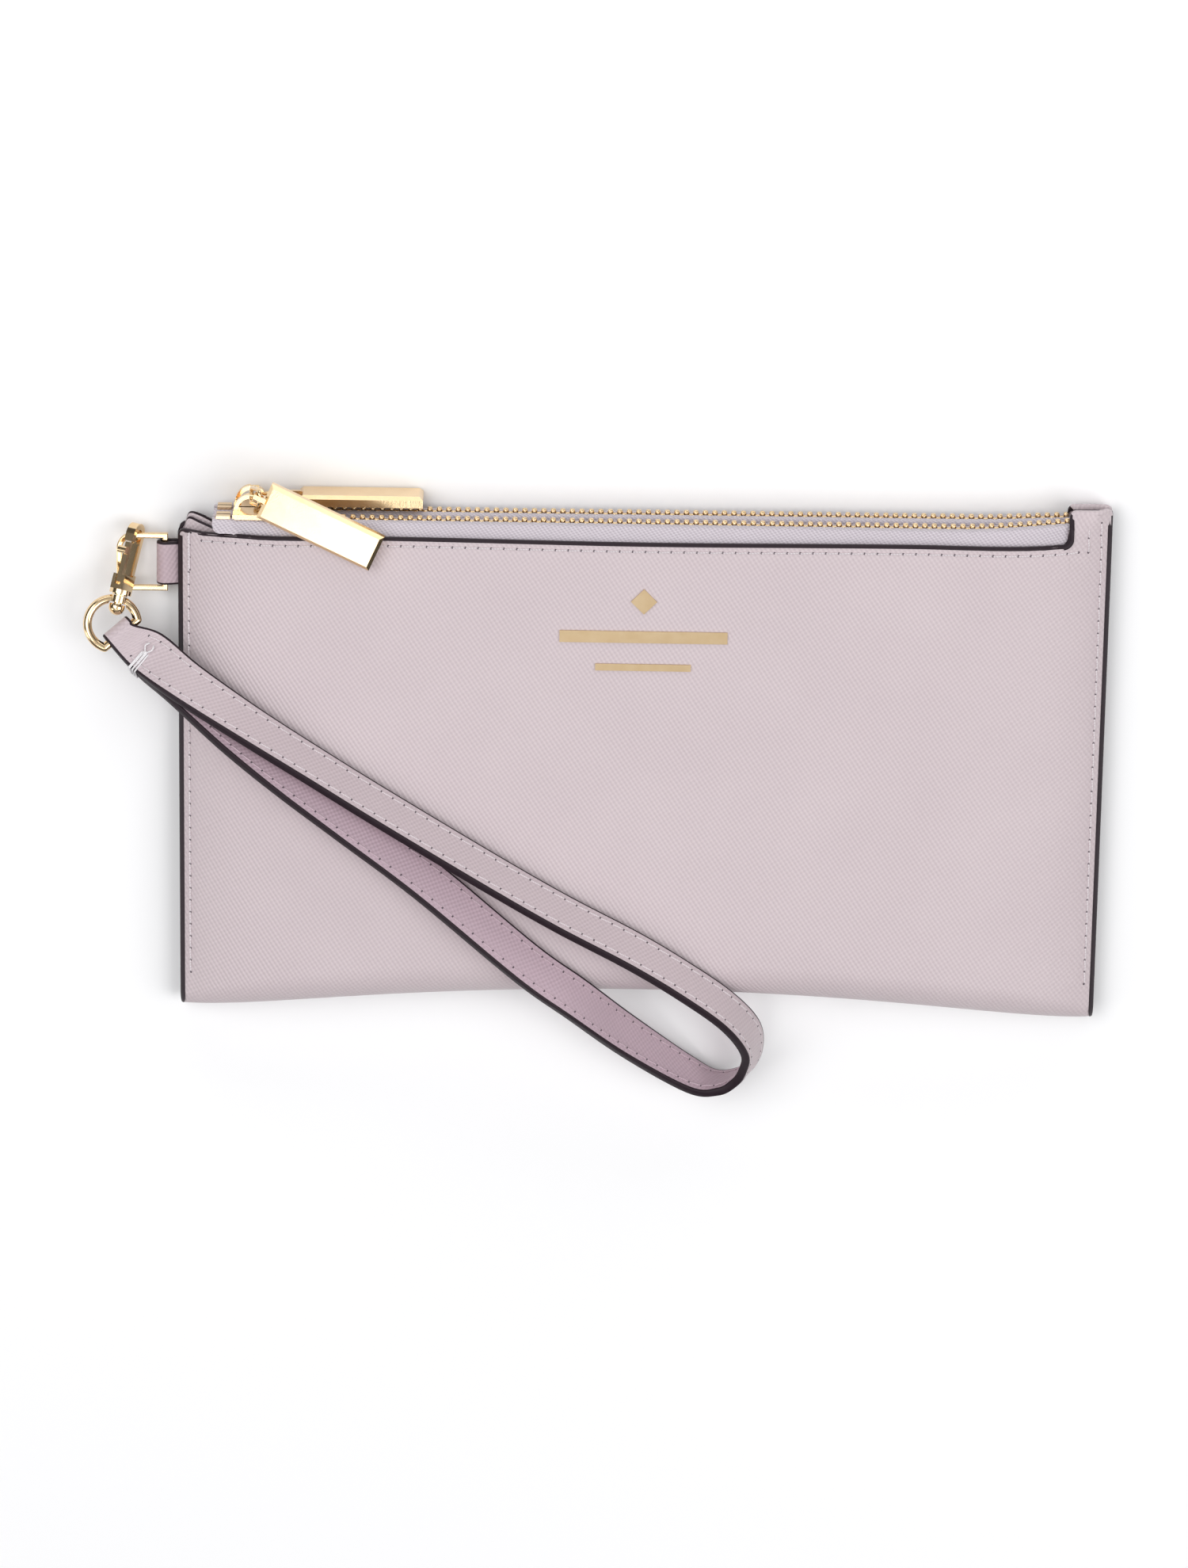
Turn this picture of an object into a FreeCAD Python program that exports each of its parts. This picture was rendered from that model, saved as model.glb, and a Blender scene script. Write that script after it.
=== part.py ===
"""Wristlet wallet: a double-zip leather wallet with a clip-on wrist strap.

The wallet lies on its back on a table. X runs along its width, Y up its height to the two
zips, and Z out of its front panel. The origin is the centre of the flat back panel, and
every length is in millimetres.
"""

import FreeCAD
import Part

import math
import os
import re

from FreeCAD import Vector

DRIVING_SIZES = {
    "wallet_width": 200.0,
    "foot_width": 198.5,
    "panel_top": 50.5,
    "tab_top": 57.3,
    "tab_start": 91.0,
    "bottom_middle": -52.0,
    "bottom_drop": 6.8,
    "full_depth": 17.2,
    "edge_depth": 6.0,
    "leather": 1.4,
    "lining": 0.3,
    "ply_gap": 0.1,
    "divider_depth": 8.2,
    "divider_top": 48.0,
    "sheet_bottom": -42.0,
    "board": 0.6,
    "facing": 0.8,
    "card_leather": 0.25,
    "card_top": 34.0,
    "card_step": 9.0,
    "card_width": 84.0,
    "card_middle": 44.0,
    "pocket_top": 30.0,
    "pocket_width": 164.0,
    "chain_height": 53.8,
    "front_chain_depth": 10.9,
    "back_chain_depth": 4.0,
    "tape": 0.5,
    "tape_edge": 0.7,
    "tooth_pitch": 2.04,
    "tooth_wide": 0.9,
    "tooth_tall": 1.0,
    "tooth_reach": 0.4,
    "tooth_gap": 0.15,
    "slider_middle": -84.5,
    "slider_long": 7.5,
    "slider_half_wide": 3.1,
    "slider_bottom": 52.6,
    "slider_top": 55.3,
    "bow_top": 59.2,
    "bow_wide": 1.6,
    "bow_wire": 0.9,
    "bow_waist": 1.5,
    "link_wire": 0.45,
    "link_inside": 1.2,
    "link_long": 5.0,
    "tag_long": 26.5,
    "tag_wide": 8.2,
    "tag_thick": 2.4,
    "ring_bar": -103.1,
    "ring_far": -113.0,
    "ring_top": 47.4,
    "ring_low": 35.7,
    "ring_level": 3.4,
    "ring_wire": 1.2,
    "hook_inside": 1.3,
    "hook_outside": 2.6,
    "hook_wide": 2.0,
    "hook_long": 12.2,
    "eye_radius": 5.4,
    "eye_wire": 0.95,
    "eye_bar": 2.8,
    "strap_wide": 10.0,
    "strap_thick": 1.9,
    "fold_wide": 6.8,
    "fold_thick": 1.2,
    "ply_spread": 2.3,
    "badge_thick": 0.35,
}

ALIAS = re.compile(r"\b([a-z]+(?:_[a-z]+)*)\b")

doc = FreeCAD.newDocument("wristlet_wallet")
sheet = doc.addObject("Spreadsheet::Sheet", "sizes")
for row, (alias, value) in enumerate(DRIVING_SIZES.items(), start=1):
    sheet.set(f"A{row}", alias)
    sheet.set(f"B{row}", str(value))
    sheet.setAlias(f"B{row}", alias)
doc.recompute()

nodes = []


def size(alias):
    """The value of one driving dimension."""
    return float(getattr(sheet, alias))


def formula(text):
    """An expression in which every alias is looked up in the sheet."""
    return ALIAS.sub(
        lambda word: f"sizes.{word[0]}" if word[0] in DRIVING_SIZES else word[0], str(text)
    )


def keep(feature, label):
    """Names a finished sub-part and lists it for export."""
    feature.Label = label
    nodes.append(feature)
    return feature


def block(low, high):
    """A box between two corners, each given as three formulas."""
    box = doc.addObject("Part::Box", "block")
    for side, axis, start, end in zip(("Length", "Width", "Height"), "xyz", low, high):
        box.setExpression(side, formula(f"({end}) - ({start})"))
        box.setExpression(f"Placement.Base.{axis}", formula(start))
    return box


def fuse(*pieces):
    """One solid made of several."""
    joined = doc.addObject("Part::MultiFuse", "joined")
    joined.Shapes = list(pieces)
    joined.Refine = True
    return joined


def frame_at(origin, along, up):
    """A placement whose X runs along one direction and whose Z leans towards another."""
    x_axis = Vector(*along).normalize()
    y_axis = Vector(*up).cross(x_axis).normalize()
    z_axis = x_axis.cross(y_axis)
    matrix = FreeCAD.Matrix(
        x_axis.x, y_axis.x, z_axis.x, origin[0],
        x_axis.y, y_axis.y, z_axis.y, origin[1],
        x_axis.z, y_axis.z, z_axis.z, origin[2],
        0, 0, 0, 1,
    )
    return FreeCAD.Placement(matrix)


def solid_feature(label, shape, placement=None):
    """A sub-part whose shape no primitive or sketch makes."""
    feature = doc.addObject("Part::Feature", label)
    feature.Shape = shape
    if placement:
        feature.Placement = placement
    return feature


# ---------------------------------------------------------------- the wallet's own depth


def fullness(x):
    """0 at the side seams and 1 across the middle: how far the wallet has swelled."""
    half = size("wallet_width") / 2
    return max(0.0, 1 - min(abs(x) / half, 1.0) ** 8) ** 0.9


def front_depth(x):
    """Depth of the front panel's outer face."""
    return size("edge_depth") + (size("full_depth") - size("edge_depth")) * fullness(x)


def divider_level(x):
    """Depth of the divider board's middle."""
    edge = size("edge_depth") / 2
    return edge + (size("divider_depth") - edge) * fullness(x)


STATIONS = (0, 30, 60, 75, 85, 91, 95, 98, 100)


def all_stations(reach):
    """Cross-section places on both sides of the middle, out to a reach."""
    inside = [x for x in STATIONS if x < reach - 0.5] + [reach]
    return [-x for x in reversed(inside[1:])] + inside


# ---------------------------------------------------------------- leather outside


BELOW_BACK = -0.1


def wrap_section(x):
    """One cut across the wrap: back panel, half-round bottom fold and front panel.

    The back starts a little below z = 0, where the outline then cuts it to a true plane.
    """
    half = size("wallet_width") / 2
    leather = size("leather")
    top = size("tab_top")
    depth = front_depth(x)
    radius = depth / 2
    fold = size("bottom_middle") - size("bottom_drop") * (x / half) ** 2 + radius

    def at(y, z):
        return Vector(x, y, z)

    outside = Part.Arc(at(fold, depth), at(fold - radius, radius), at(fold, BELOW_BACK))
    inner = radius - leather
    inside = Part.Arc(at(fold, leather), at(fold - inner, radius), at(fold, depth - leather))
    corners = [at(fold, BELOW_BACK), at(top, BELOW_BACK), at(top, leather), at(fold, leather)]
    back = [Part.makeLine(a, b) for a, b in zip(corners, corners[1:])]
    corners = [at(fold, depth - leather), at(top, depth - leather), at(top, depth), at(fold, depth)]
    front = [Part.makeLine(a, b) for a, b in zip(corners, corners[1:])]
    return Part.Wire([*back, inside.toShape(), *front, outside.toShape()])


def wrap_outline():
    """The panels' outline seen from the front: tapered sides, and tabs beside the zips' end."""
    half = size("wallet_width") / 2
    foot = size("foot_width") / 2
    bottom = size("bottom_middle") - size("bottom_drop") - 1
    panel_top, tab_top, tab_start = size("panel_top"), size("tab_top"), size("tab_start")
    corners = [
        (-half, panel_top), (tab_start, panel_top), (tab_start, tab_top),
        (half, tab_top), (foot, bottom), (-foot, bottom),
    ]
    loop = [Vector(x, y, 0) for x, y in [*corners, corners[0]]]
    plate = Part.Face(Part.makePolygon(loop)).extrude(Vector(0, 0, size("full_depth") + 2))
    rounded = [
        edge for edge in plate.Edges
        if abs(edge.Vertexes[0].Z - edge.Vertexes[-1].Z) > 1 and edge.Vertexes[0].Y > bottom + 1
    ]
    return plate.makeFillet(1.4, rounded)


sections = [wrap_section(x) for x in all_stations(size("wallet_width") / 2)]
wrap = Part.makeLoft(sections, True, False).common(wrap_outline())
keep(solid_feature("outer_wrap", wrap.Solids[0]), "outer_wrap")


# ---------------------------------------------------------------- sheets inside the wallet


def sheet_body(label, level, thickness, start, end, bottom, top):
    """A sheet that follows a depth curve across the wallet, as a sketch padded down Y."""
    body = doc.addObject("PartDesign::Body", label + "_body")
    plane = next(f for f in body.Origin.OriginFeatures if f.Role == "XZ_Plane")
    sketch = body.newObject("Sketcher::SketchObject", label + "_outline")
    sketch.AttachmentSupport = [(plane, "")]
    sketch.MapMode = "FlatFace"
    sketch.setExpression("AttachmentOffset.Base.z", formula(f"-({top})"))

    places = [start, *(x for x in all_stations(100) if start + 1 < x < end - 1), end]
    lower = [Vector(x, level(x), 0) for x in places]
    upper = [Vector(x, level(x) + thickness, 0) for x in places]
    for points in (lower, upper):
        curve = Part.BSplineCurve()
        curve.interpolate(points)
        sketch.addGeometry(curve, False)
    for a, b in ((lower[0], upper[0]), (lower[-1], upper[-1])):
        sketch.addGeometry(Part.LineSegment(a, b), False)

    pad = body.newObject("PartDesign::Pad", label + "_pad")
    pad.Profile = sketch
    pad.setExpression("Length", formula(f"({top}) - ({bottom})"))
    body.Tip = pad
    return keep(body, label)


gap = size("ply_gap")
lining = size("lining")
board_half = size("board") / 2
board_face = board_half + 0.04
facing = size("facing")
card = size("card_leather")

sheet_body(
    "front_lining", lambda x: front_depth(x) - size("leather") - gap - lining, lining,
    -98, 98, "sheet_bottom", "panel_top - 3",
)
sheet_body("back_lining", lambda x: size("leather") + gap, lining, -98, 98, "sheet_bottom", "panel_top - 3")
sheet_body("slip_pocket", lambda x: size("leather") + 2 * gap + lining, 0.4,
           -size("pocket_width") / 2, size("pocket_width") / 2, "sheet_bottom", "pocket_top")
sheet_body("divider_board", lambda x: divider_level(x) - board_half, size("board"),
           -95, 95, "sheet_bottom", "divider_top - 2")
sheet_body("divider_front_facing", lambda x: divider_level(x) + board_face, facing,
           -99, 99, "sheet_bottom", "divider_top")
sheet_body("divider_back_facing", lambda x: divider_level(x) - board_face - facing, facing,
           -99, 99, "sheet_bottom", "divider_top")

for side, middle in (("left", -size("card_middle")), ("right", size("card_middle"))):
    for tier in range(3):
        lift = board_face + facing + 0.05 + tier * (card + 0.05)
        sheet_body(
            f"card_slot_{side}_{tier + 1}", lambda x, lift=lift: divider_level(x) + lift, card,
            middle - size("card_width") / 2, middle + size("card_width") / 2,
            "sheet_bottom", f"card_top - {tier} * card_step",
        )


# ---------------------------------------------------------------- the two zips

CHAIN_START = -82.4
CHAIN_END = 90.4
CHAIN_TURN = 74.0
TAB_APPROACH = 86.0
FREE_END = -88.2
TAPE_START = -92.6
TAPE_END = 95.0
STOP_START = -91.8
STOP_END = -88.8
END_STOP_START = 91.6
END_STOP_END = 92.6

ZIPS = {
    "front": {"depth": size("front_chain_depth"), "drop": 3.6},
    "back": {"depth": size("back_chain_depth"), "drop": 1.0},
}


def chain_depth(zip_name, x):
    """Depth of a zip's centre line: straight over the slider's travel, then sinking at the end."""
    zip_size = ZIPS[zip_name]
    past = max(0.0, (x - CHAIN_TURN) / (TAPE_END - CHAIN_TURN))
    return zip_size["depth"] - zip_size["drop"] * past**2


def tape_foot(zip_name, side, x):
    """Depth at which a tape's sewn edge lies: inside a panel's lining, or on the divider."""
    half = size("tape") / 2
    if zip_name == "front" and side > 0:
        return front_depth(x) - size("leather") - gap - half
    if zip_name == "back" and side < 0:
        return size("leather") + gap + half
    return divider_level(x) + side_of_divider(zip_name) * (board_face + facing + gap + half)


def side_of_divider(zip_name):
    """The front zip's inner tape lies in front of the divider, the back zip's behind it."""
    return 1 if zip_name == "front" else -1


def tape_section(zip_name, side, x):
    """One cut across a tape: flat beside the teeth, then bent down to its sewn edge."""
    half = size("tape") / 2
    middle = size("chain_height")
    chain = chain_depth(zip_name, x)
    foot = tape_foot(zip_name, side, x)
    edge = chain + side * size("tape_edge")
    spare = 0.0 if x > TAB_APPROACH else 0.4
    least = 2.4 if x < CHAIN_START else 1.15
    shoulder = chain + side * min(2.9, max(least, abs(foot - chain) + spare))
    bend, hem = 50.9, 49.0
    if x < FREE_END:
        bend, hem = 52.6, 51.0
    if x < STOP_END:
        foot = shoulder
    ridge = [(middle, edge), (middle, shoulder), (bend, foot), (hem, foot)]

    def offset(points, distance):
        """The same bent line, moved sideways by a distance."""
        moved = []
        for i, (y, z) in enumerate(points):
            before = points[max(i - 1, 0)]
            after = points[min(i + 1, len(points) - 1)]
            run = Vector(after[0] - before[0], after[1] - before[1], 0).normalize()
            moved.append(Vector(x, y - run.y * distance, z + run.x * distance))
        return moved

    outline = [*offset(ridge, half), *reversed(offset(ridge, -half))]
    return Part.makePolygon([*outline, outline[0]])


def tape(zip_name, side):
    """One woven tape, from its free end at the stops to the far seam."""
    places = [
        TAPE_START, STOP_END - 0.1, FREE_END - 0.1, -88, -84, -78, -70, -60,
        -30, 0, 30, 60, 70, 78, 84, 88, 91, TAPE_END,
    ]
    return Part.makeLoft([tape_section(zip_name, side, x) for x in places], True, True)


def teeth(zip_name, side):
    """Every tooth on one tape, each a separate small block beside the tape's edge."""
    pitch = size("tooth_pitch")
    shift = 0.0 if side > 0 else pitch / 2
    count = int((CHAIN_END - CHAIN_START - shift) / pitch)
    root = side * (size("tape_edge") - size("tooth_gap"))
    low = min(-side * size("tooth_reach"), root)
    high = max(-side * size("tooth_reach"), root)
    blocks = []
    for step in range(count):
        x = CHAIN_START + shift + step * pitch
        tooth = Part.makeBox(size("tooth_wide"), size("tooth_tall"), high - low)
        depth = chain_depth(zip_name, x + size("tooth_wide") / 2)
        tooth.translate(Vector(x, size("chain_height") - size("tooth_tall") / 2, depth + low))
        blocks.append(tooth)
    return Part.makeCompound(blocks)


def crimp(zip_name, side, start, end, reach):
    """A metal crimp closed over one tape's edge at the end of its teeth."""
    middle = size("chain_height")
    chain = chain_depth(zip_name, (start + end) / 2)
    web, slot_start = 0.22, 0.42
    body = Part.makeBox(end - start, 1.7, reach - web)
    body.translate(Vector(start, middle - 0.85, chain + (web if side > 0 else -reach)))
    slot = Part.makeBox(end - start + 2, size("tape") + 0.04, reach)
    slot.translate(Vector(start - 1, middle - size("tape") / 2 - 0.02,
                          chain + (slot_start if side > 0 else -slot_start - reach)))
    return body.cut(slot).Solids[0]


for zip_name in ZIPS:
    for side in (1, -1):
        side_name = "outer" if side == side_of_divider(zip_name) else "inner"
        keep(solid_feature("tape", tape(zip_name, side)), f"{zip_name}_tape_{side_name}")
        keep(solid_feature("teeth", teeth(zip_name, side)), f"{zip_name}_teeth_{side_name}")
    for label, start, end, reach in (
        ("top_stops", STOP_START, STOP_END, 1.9),
        ("bottom_stop", END_STOP_START, END_STOP_END, 0.75),
    ):
        pair = Part.makeCompound([crimp(zip_name, side, start, end, reach) for side in (1, -1)])
        keep(solid_feature("stops", pair), f"{zip_name}_{label}")


# ---------------------------------------------------------------- sliders, bows and pulls

NOSE = "slider_middle - slider_long / 2"
TAIL = "slider_middle + slider_long / 2"
FRONT_LINK_X = -84.0
BOW_BAR = size("bow_top") - size("bow_wire") / 2


def slider_body(zip_name):
    """Two plates with side flanges, joined by a post that parts the teeth."""
    depth = f"{zip_name}_chain_depth"
    low, high = f"{depth} - slider_half_wide", f"{depth} + slider_half_wide"
    outer = block((NOSE, "slider_top - 0.8", low), (TAIL, "slider_top", high))
    inner = block((f"{NOSE} + 0.4", "slider_bottom", f"{depth} - 1.2"),
                  (f"{TAIL} - 0.4", "slider_bottom + 0.6", f"{depth} + 1.2"))
    post = block((NOSE, "slider_bottom", f"{depth} - 0.55"),
                 (f"{NOSE} + 2.2", "slider_top", f"{depth} + 0.55"))
    flanges = [
        block((f"{NOSE} + 0.4", "slider_top - 1.05", f"{depth} + {start}"),
              (f"{TAIL} - 0.4", "slider_top - 0.4", f"{depth} + {start} + 0.6"))
        for start in (-3.1, 2.5)
    ]
    lugs = [
        block((f"{start}", "slider_top - 0.2", f"{depth} - 1.3"),
              (f"{start} + 1.5", "slider_top + 0.35", f"{depth} + 1.3"))
        for start in (f"{NOSE} + 0.05", f"{TAIL} - 1.55")
    ]
    return fuse(outer, inner, post, *flanges, *lugs)


def oval(across, up):
    """A filled ellipse about the origin."""
    face = Part.Face(Part.Wire(Part.Ellipse(Vector(), max(across, up), min(across, up)).toShape()))
    if up > across:
        face.rotate(Vector(), Vector(0, 0, 1), 90)
    return face


def slider_bow(zip_name):
    """The arched bridge over the slider; the pull's link turns on its round waist."""
    half = (size("slider_long") - 0.5) / 2
    wire, wide, waist = size("bow_wire"), size("bow_wide"), size("bow_waist")
    foot = size("slider_top") + 0.35
    rise = size("bow_top") - foot
    depth = size(f"{zip_name}_chain_depth")
    arch = oval(half, rise).cut(oval(half - wire + 0.1, rise - wire))
    above = Part.makePlane(4 * half, 2 * rise, Vector(-2 * half, 0, 0))
    arch = arch.common(above).extrude(Vector(0, 0, wide))
    arch.translate(Vector(size("slider_middle"), foot, depth - wide / 2))
    start = Vector(FRONT_LINK_X - waist / 2, BOW_BAR, depth)
    notch = Part.makeBox(waist, 2.0, 4.0, start - Vector(0, 1.0, 2.0))
    overlap = Vector(0.3, 0, 0)
    bar = Part.makeCylinder(wire / 2, waist + 2 * overlap.x, start - overlap, Vector(1, 0, 0))
    return solid_feature("bow", arch.Solids[0].cut(notch).fuse(bar).removeSplitter().Solids[0])


LINK_CORNER = 1.05


def wire_link():
    """A closed wire link with rounded corners, in its own XY plane, its near end about the origin."""
    wire = size("link_wire")
    half = size("link_inside") + wire
    start, end = -half, size("link_long") + half
    straight = half - LINK_CORNER
    pieces = []
    for x, inward, turns in ((start, 1, {1: 90, -1: 180}), (end, -1, {1: 0, -1: 270})):
        for side, turn in turns.items():
            bend = Part.makeTorus(LINK_CORNER, wire, Vector(), Vector(0, 0, 1), -180, 180, 90)
            bend.rotate(Vector(), Vector(0, 0, 1), turn)
            bend.translate(Vector(x + inward * LINK_CORNER, side * straight, 0))
            pieces.append(bend)
        pieces.append(Part.makeCylinder(wire, 2 * straight, Vector(x, -straight, 0), Vector(0, 1, 0)))
    for side in (-1, 1):
        pieces.append(Part.makeCylinder(
            wire, end - start - 2 * LINK_CORNER, Vector(start + LINK_CORNER, side * half, 0),
            Vector(1, 0, 0),
        ))
    return pieces[0].multiFuse(pieces[1:]).Solids[0]


def pull_tag():
    """The bevelled bar, with a small lug whose cross hole takes the link; origin at that hole."""
    long, wide, thick = size("tag_long"), size("tag_wide"), size("tag_thick")
    start = 1.2
    bar = Part.makeBox(long, wide, thick, Vector(start, -wide / 2, -thick / 2))
    rim = [
        edge for edge in bar.Edges
        if all(abs(v.Z - thick / 2) < 1e-6 for v in edge.Vertexes)
    ]
    bar = bar.makeChamfer(0.75, rim)
    lug = Part.makeBox(2.8, 1.0, thick, Vector(-1.2, -0.5, -thick / 2))
    hole = Part.makeCylinder(0.82, 4, Vector(0, -2, 0), Vector(0, 1, 0))
    return bar.fuse(lug).cut(hole).removeSplitter().Solids[0]


LINK_RUN = size("link_long") + size("link_inside") + size("link_wire")
FRONT_PULL_LEAN = math.radians(13)
BACK_HINGE = Vector(-83.7, 57.0, size("back_chain_depth") + 0.35)

front_bar = Vector(FRONT_LINK_X, BOW_BAR, size("front_chain_depth"))
front_run = Vector(0.25, math.sin(FRONT_PULL_LEAN), math.cos(FRONT_PULL_LEAN)).normalize()
front_hole = front_bar + front_run * LINK_RUN
back_run = Vector(1, 0, 0)
back_near = BACK_HINGE + back_run * (size("link_inside") + size("link_wire"))
back_hole = back_near + back_run * LINK_RUN

PULLS = {
    "front": {
        "link": frame_at(front_bar, front_run, (1, 0, 0)),
        "tag": frame_at(front_hole, (0.905, -0.40, 0.11), (0, 0, 1)),
    },
    "back": {
        "link": frame_at(back_near, back_run, (0, 1, 0)),
        "tag": frame_at(back_hole, back_run, (0, 1, 0)),
    },
}

for zip_name, places in PULLS.items():
    keep(slider_body(zip_name), f"{zip_name}_slider_body")
    keep(slider_bow(zip_name), f"{zip_name}_slider_bow")
    keep(solid_feature("link", wire_link(), places["link"]), f"{zip_name}_pull_link")
    keep(solid_feature("tag", pull_tag(), places["tag"]), f"{zip_name}_pull_tag")


# ---------------------------------------------------------------- side tab and ring


def side_tab():
    """A leather strip folded round the ring's bar, both ends sewn under the side seam."""
    bar, level = size("ring_bar"), size("ring_level")
    leather = 0.9
    inner = size("ring_wire") / 2 + 0.35
    end, spread, drop = -99.3, 1.4, 0.5
    body = doc.addObject("PartDesign::Body", "side_tab_body")
    plane = next(f for f in body.Origin.OriginFeatures if f.Role == "XZ_Plane")
    sketch = body.newObject("Sketcher::SketchObject", "side_tab_outline")
    sketch.AttachmentSupport = [(plane, "")]
    sketch.MapMode = "FlatFace"
    sketch.setExpression("AttachmentOffset.Base.z", formula("-(ring_top - 1.05)"))
    outer = inner + leather
    for radius, turn in ((outer, 1), (inner, -1)):
        sketch.addGeometry(Part.Arc(
            Vector(bar, level + radius, 0), Vector(bar - radius, level, 0), Vector(bar, level - radius, 0)
        ), False)
        reach = spread if turn > 0 else spread - leather
        for up in (1, -1):
            sketch.addGeometry(Part.LineSegment(
                Vector(bar, level + up * radius, 0), Vector(end, level - drop + up * reach, 0)
            ), False)
    for up in (1, -1):
        sketch.addGeometry(Part.LineSegment(
            Vector(end, level - drop + up * spread, 0),
            Vector(end, level - drop + up * (spread - leather), 0),
        ), False)
    pad = body.newObject("PartDesign::Pad", "side_tab_pad")
    pad.Profile = sketch
    pad.setExpression("Length", formula("ring_top - ring_low - 2.1"))
    body.Tip = pad
    return body


keep(side_tab(), "side_tab")


def side_ring():
    """A flat-wire ring: a straight bar in the tab, two arms and a bar with round corners."""
    bar, far = size("ring_bar"), size("ring_far")
    top, low, level = size("ring_top"), size("ring_low"), size("ring_level")
    half = size("ring_wire") / 2
    outer = Part.makeBox(bar - far + 2 * half, top - low + 2 * half, 2 * half,
                         Vector(far - half, low - half, level - half))
    inner = Part.makeBox(bar - far - 2 * half, top - low - 2 * half, 4 * half,
                         Vector(far + half, low + half, level - 2 * half))

    def far_corners(solid):
        limit = (bar + far) / 2
        return [
            e for e in solid.Edges
            if all(v.X < limit for v in e.Vertexes) and abs(e.Vertexes[0].Z - e.Vertexes[-1].Z) > half
        ]

    outer = outer.makeFillet(3.6, far_corners(outer))
    inner = inner.makeFillet(2.4, far_corners(inner))
    ring = outer.cut(inner)
    return ring.makeFillet(0.3, [e for e in ring.Edges if all(
        abs(abs(v.Z - level) - half) < 1e-6 for v in e.Vertexes) and e.Length > 1.5])


keep(solid_feature("side_ring", side_ring()), "side_ring")


# ---------------------------------------------------------------- snap hook and swivel

HOOK_AXIS = Vector(-0.23, -0.92, 0.326).normalize()
HOOK_UP = Vector(-0.42, 0, 0.91)
HOOK_ORIGIN = Vector(-109.6, size("ring_top"), size("ring_level"))
HOOK_PLACE = frame_at(HOOK_ORIGIN, HOOK_AXIS, HOOK_UP)
GATE_HINGE = (9.7, 1.95)
PIN_RADIUS = 0.36
PIN_HOLE = 0.4
GATE_TIP = 1.9


def clasp_hook():
    """The hook: a spine, a round nose and a forked shank, in the hook's own frame."""
    inside, outside = size("hook_inside"), size("hook_outside")
    wide, long = size("hook_wide"), size("hook_long")

    def slab(start, end, low, high, width=wide):
        return Part.makeBox(end - start, width, high - low, Vector(start, -width / 2, low))

    ring = Part.makeCylinder(outside, wide, Vector(0, -wide / 2, 0), Vector(0, 1, 0))
    ring = ring.cut(Part.makeCylinder(inside, wide + 1, Vector(0, -wide / 2 - 0.5, 0), Vector(0, 1, 0)))
    nose = ring.cut(slab(0, 2 * outside, -2 * outside, 2 * outside, wide + 1))
    spine = slab(0, long - 3, -outside, -inside)
    lip = slab(0, GATE_TIP - 0.3, inside, outside)
    shank = slab(long - 3.6, long, -outside, outside + 0.2, wide + 0.8)
    slot = slab(long - 5, long - 1.0, 0.7, 2 * outside, 1.3)
    throat = slab(long - 5, long - 3.2, -inside, 2 * outside, wide + 2)
    pin_hole = Part.makeCylinder(PIN_HOLE, 6, Vector(GATE_HINGE[0], -3, GATE_HINGE[1]), Vector(0, 1, 0))
    collar = Part.makeCylinder(2.4, 0.9, Vector(long, 0, 0), Vector(1, 0, 0))
    neck = Part.makeCylinder(1.7, 0.3, Vector(long + 0.9, 0, 0), Vector(1, 0, 0))
    solid = nose.multiFuse([spine, lip, shank, collar, neck]).removeSplitter()
    hole = Part.makeCylinder(0.9, 2.4, Vector(long - 0.6, 0, 0), Vector(1, 0, 0))
    return solid.cut(slot).cut(throat).cut(pin_hole).cut(hole).Solids[0]


def clasp_gate():
    """The sprung gate with its thumb tab, from the nose's lip to the pin in the fork."""
    inside, outside = size("hook_inside"), size("hook_outside")
    bar = Part.makeBox(GATE_HINGE[0] + 0.9 - GATE_TIP, 1.1, outside - inside - 0.1,
                       Vector(GATE_TIP, -0.55, inside + 0.05))
    thumb = Part.makeBox(1.0, 1.1, 2.0, Vector(GATE_TIP + 1.4, -0.55, outside - 0.1))
    pad = Part.makeCylinder(0.8, 1.9, Vector(GATE_TIP + 1.9, -0.95, outside + 1.6), Vector(0, 1, 0))
    hole = Part.makeCylinder(PIN_HOLE, 6, Vector(GATE_HINGE[0], -3, GATE_HINGE[1]), Vector(0, 1, 0))
    return bar.multiFuse([thumb, pad]).cut(hole).removeSplitter().Solids[0]


def clasp_gate_pin():
    """The rivet on which the gate turns."""
    wide = size("hook_wide") + 0.8
    start = Vector(GATE_HINGE[0], -wide / 2, GATE_HINGE[1])
    return Part.makeCylinder(PIN_RADIUS, wide, start, Vector(0, 1, 0))


def clasp_spring():
    """The leaf spring that presses the gate shut, set in the shank's fork."""
    return Part.makeBox(2.2, 0.9, 0.18, Vector(8.85, -0.45, 0.72))


def swivel_rivet():
    """The post and domed head that hold the eye to the collar."""
    start = size("hook_long") - 0.5
    post = Part.makeCylinder(0.85, 4.2, Vector(start, 0, 0), Vector(1, 0, 0))
    head = Part.makeSphere(1.75, Vector(start + 4.3, 0, 0))
    head = head.cut(Part.makeBox(6, 6, 6, Vector(start + 3.7 - 6, -3, -3)))
    return post.fuse(head).removeSplitter().Solids[0]


for label, maker in (
    ("clasp_hook", clasp_hook), ("clasp_gate", clasp_gate), ("clasp_gate_pin", clasp_gate_pin),
    ("clasp_spring", clasp_spring), ("swivel_rivet", swivel_rivet),
):
    keep(solid_feature(label, maker(), HOOK_PLACE), label)

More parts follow.
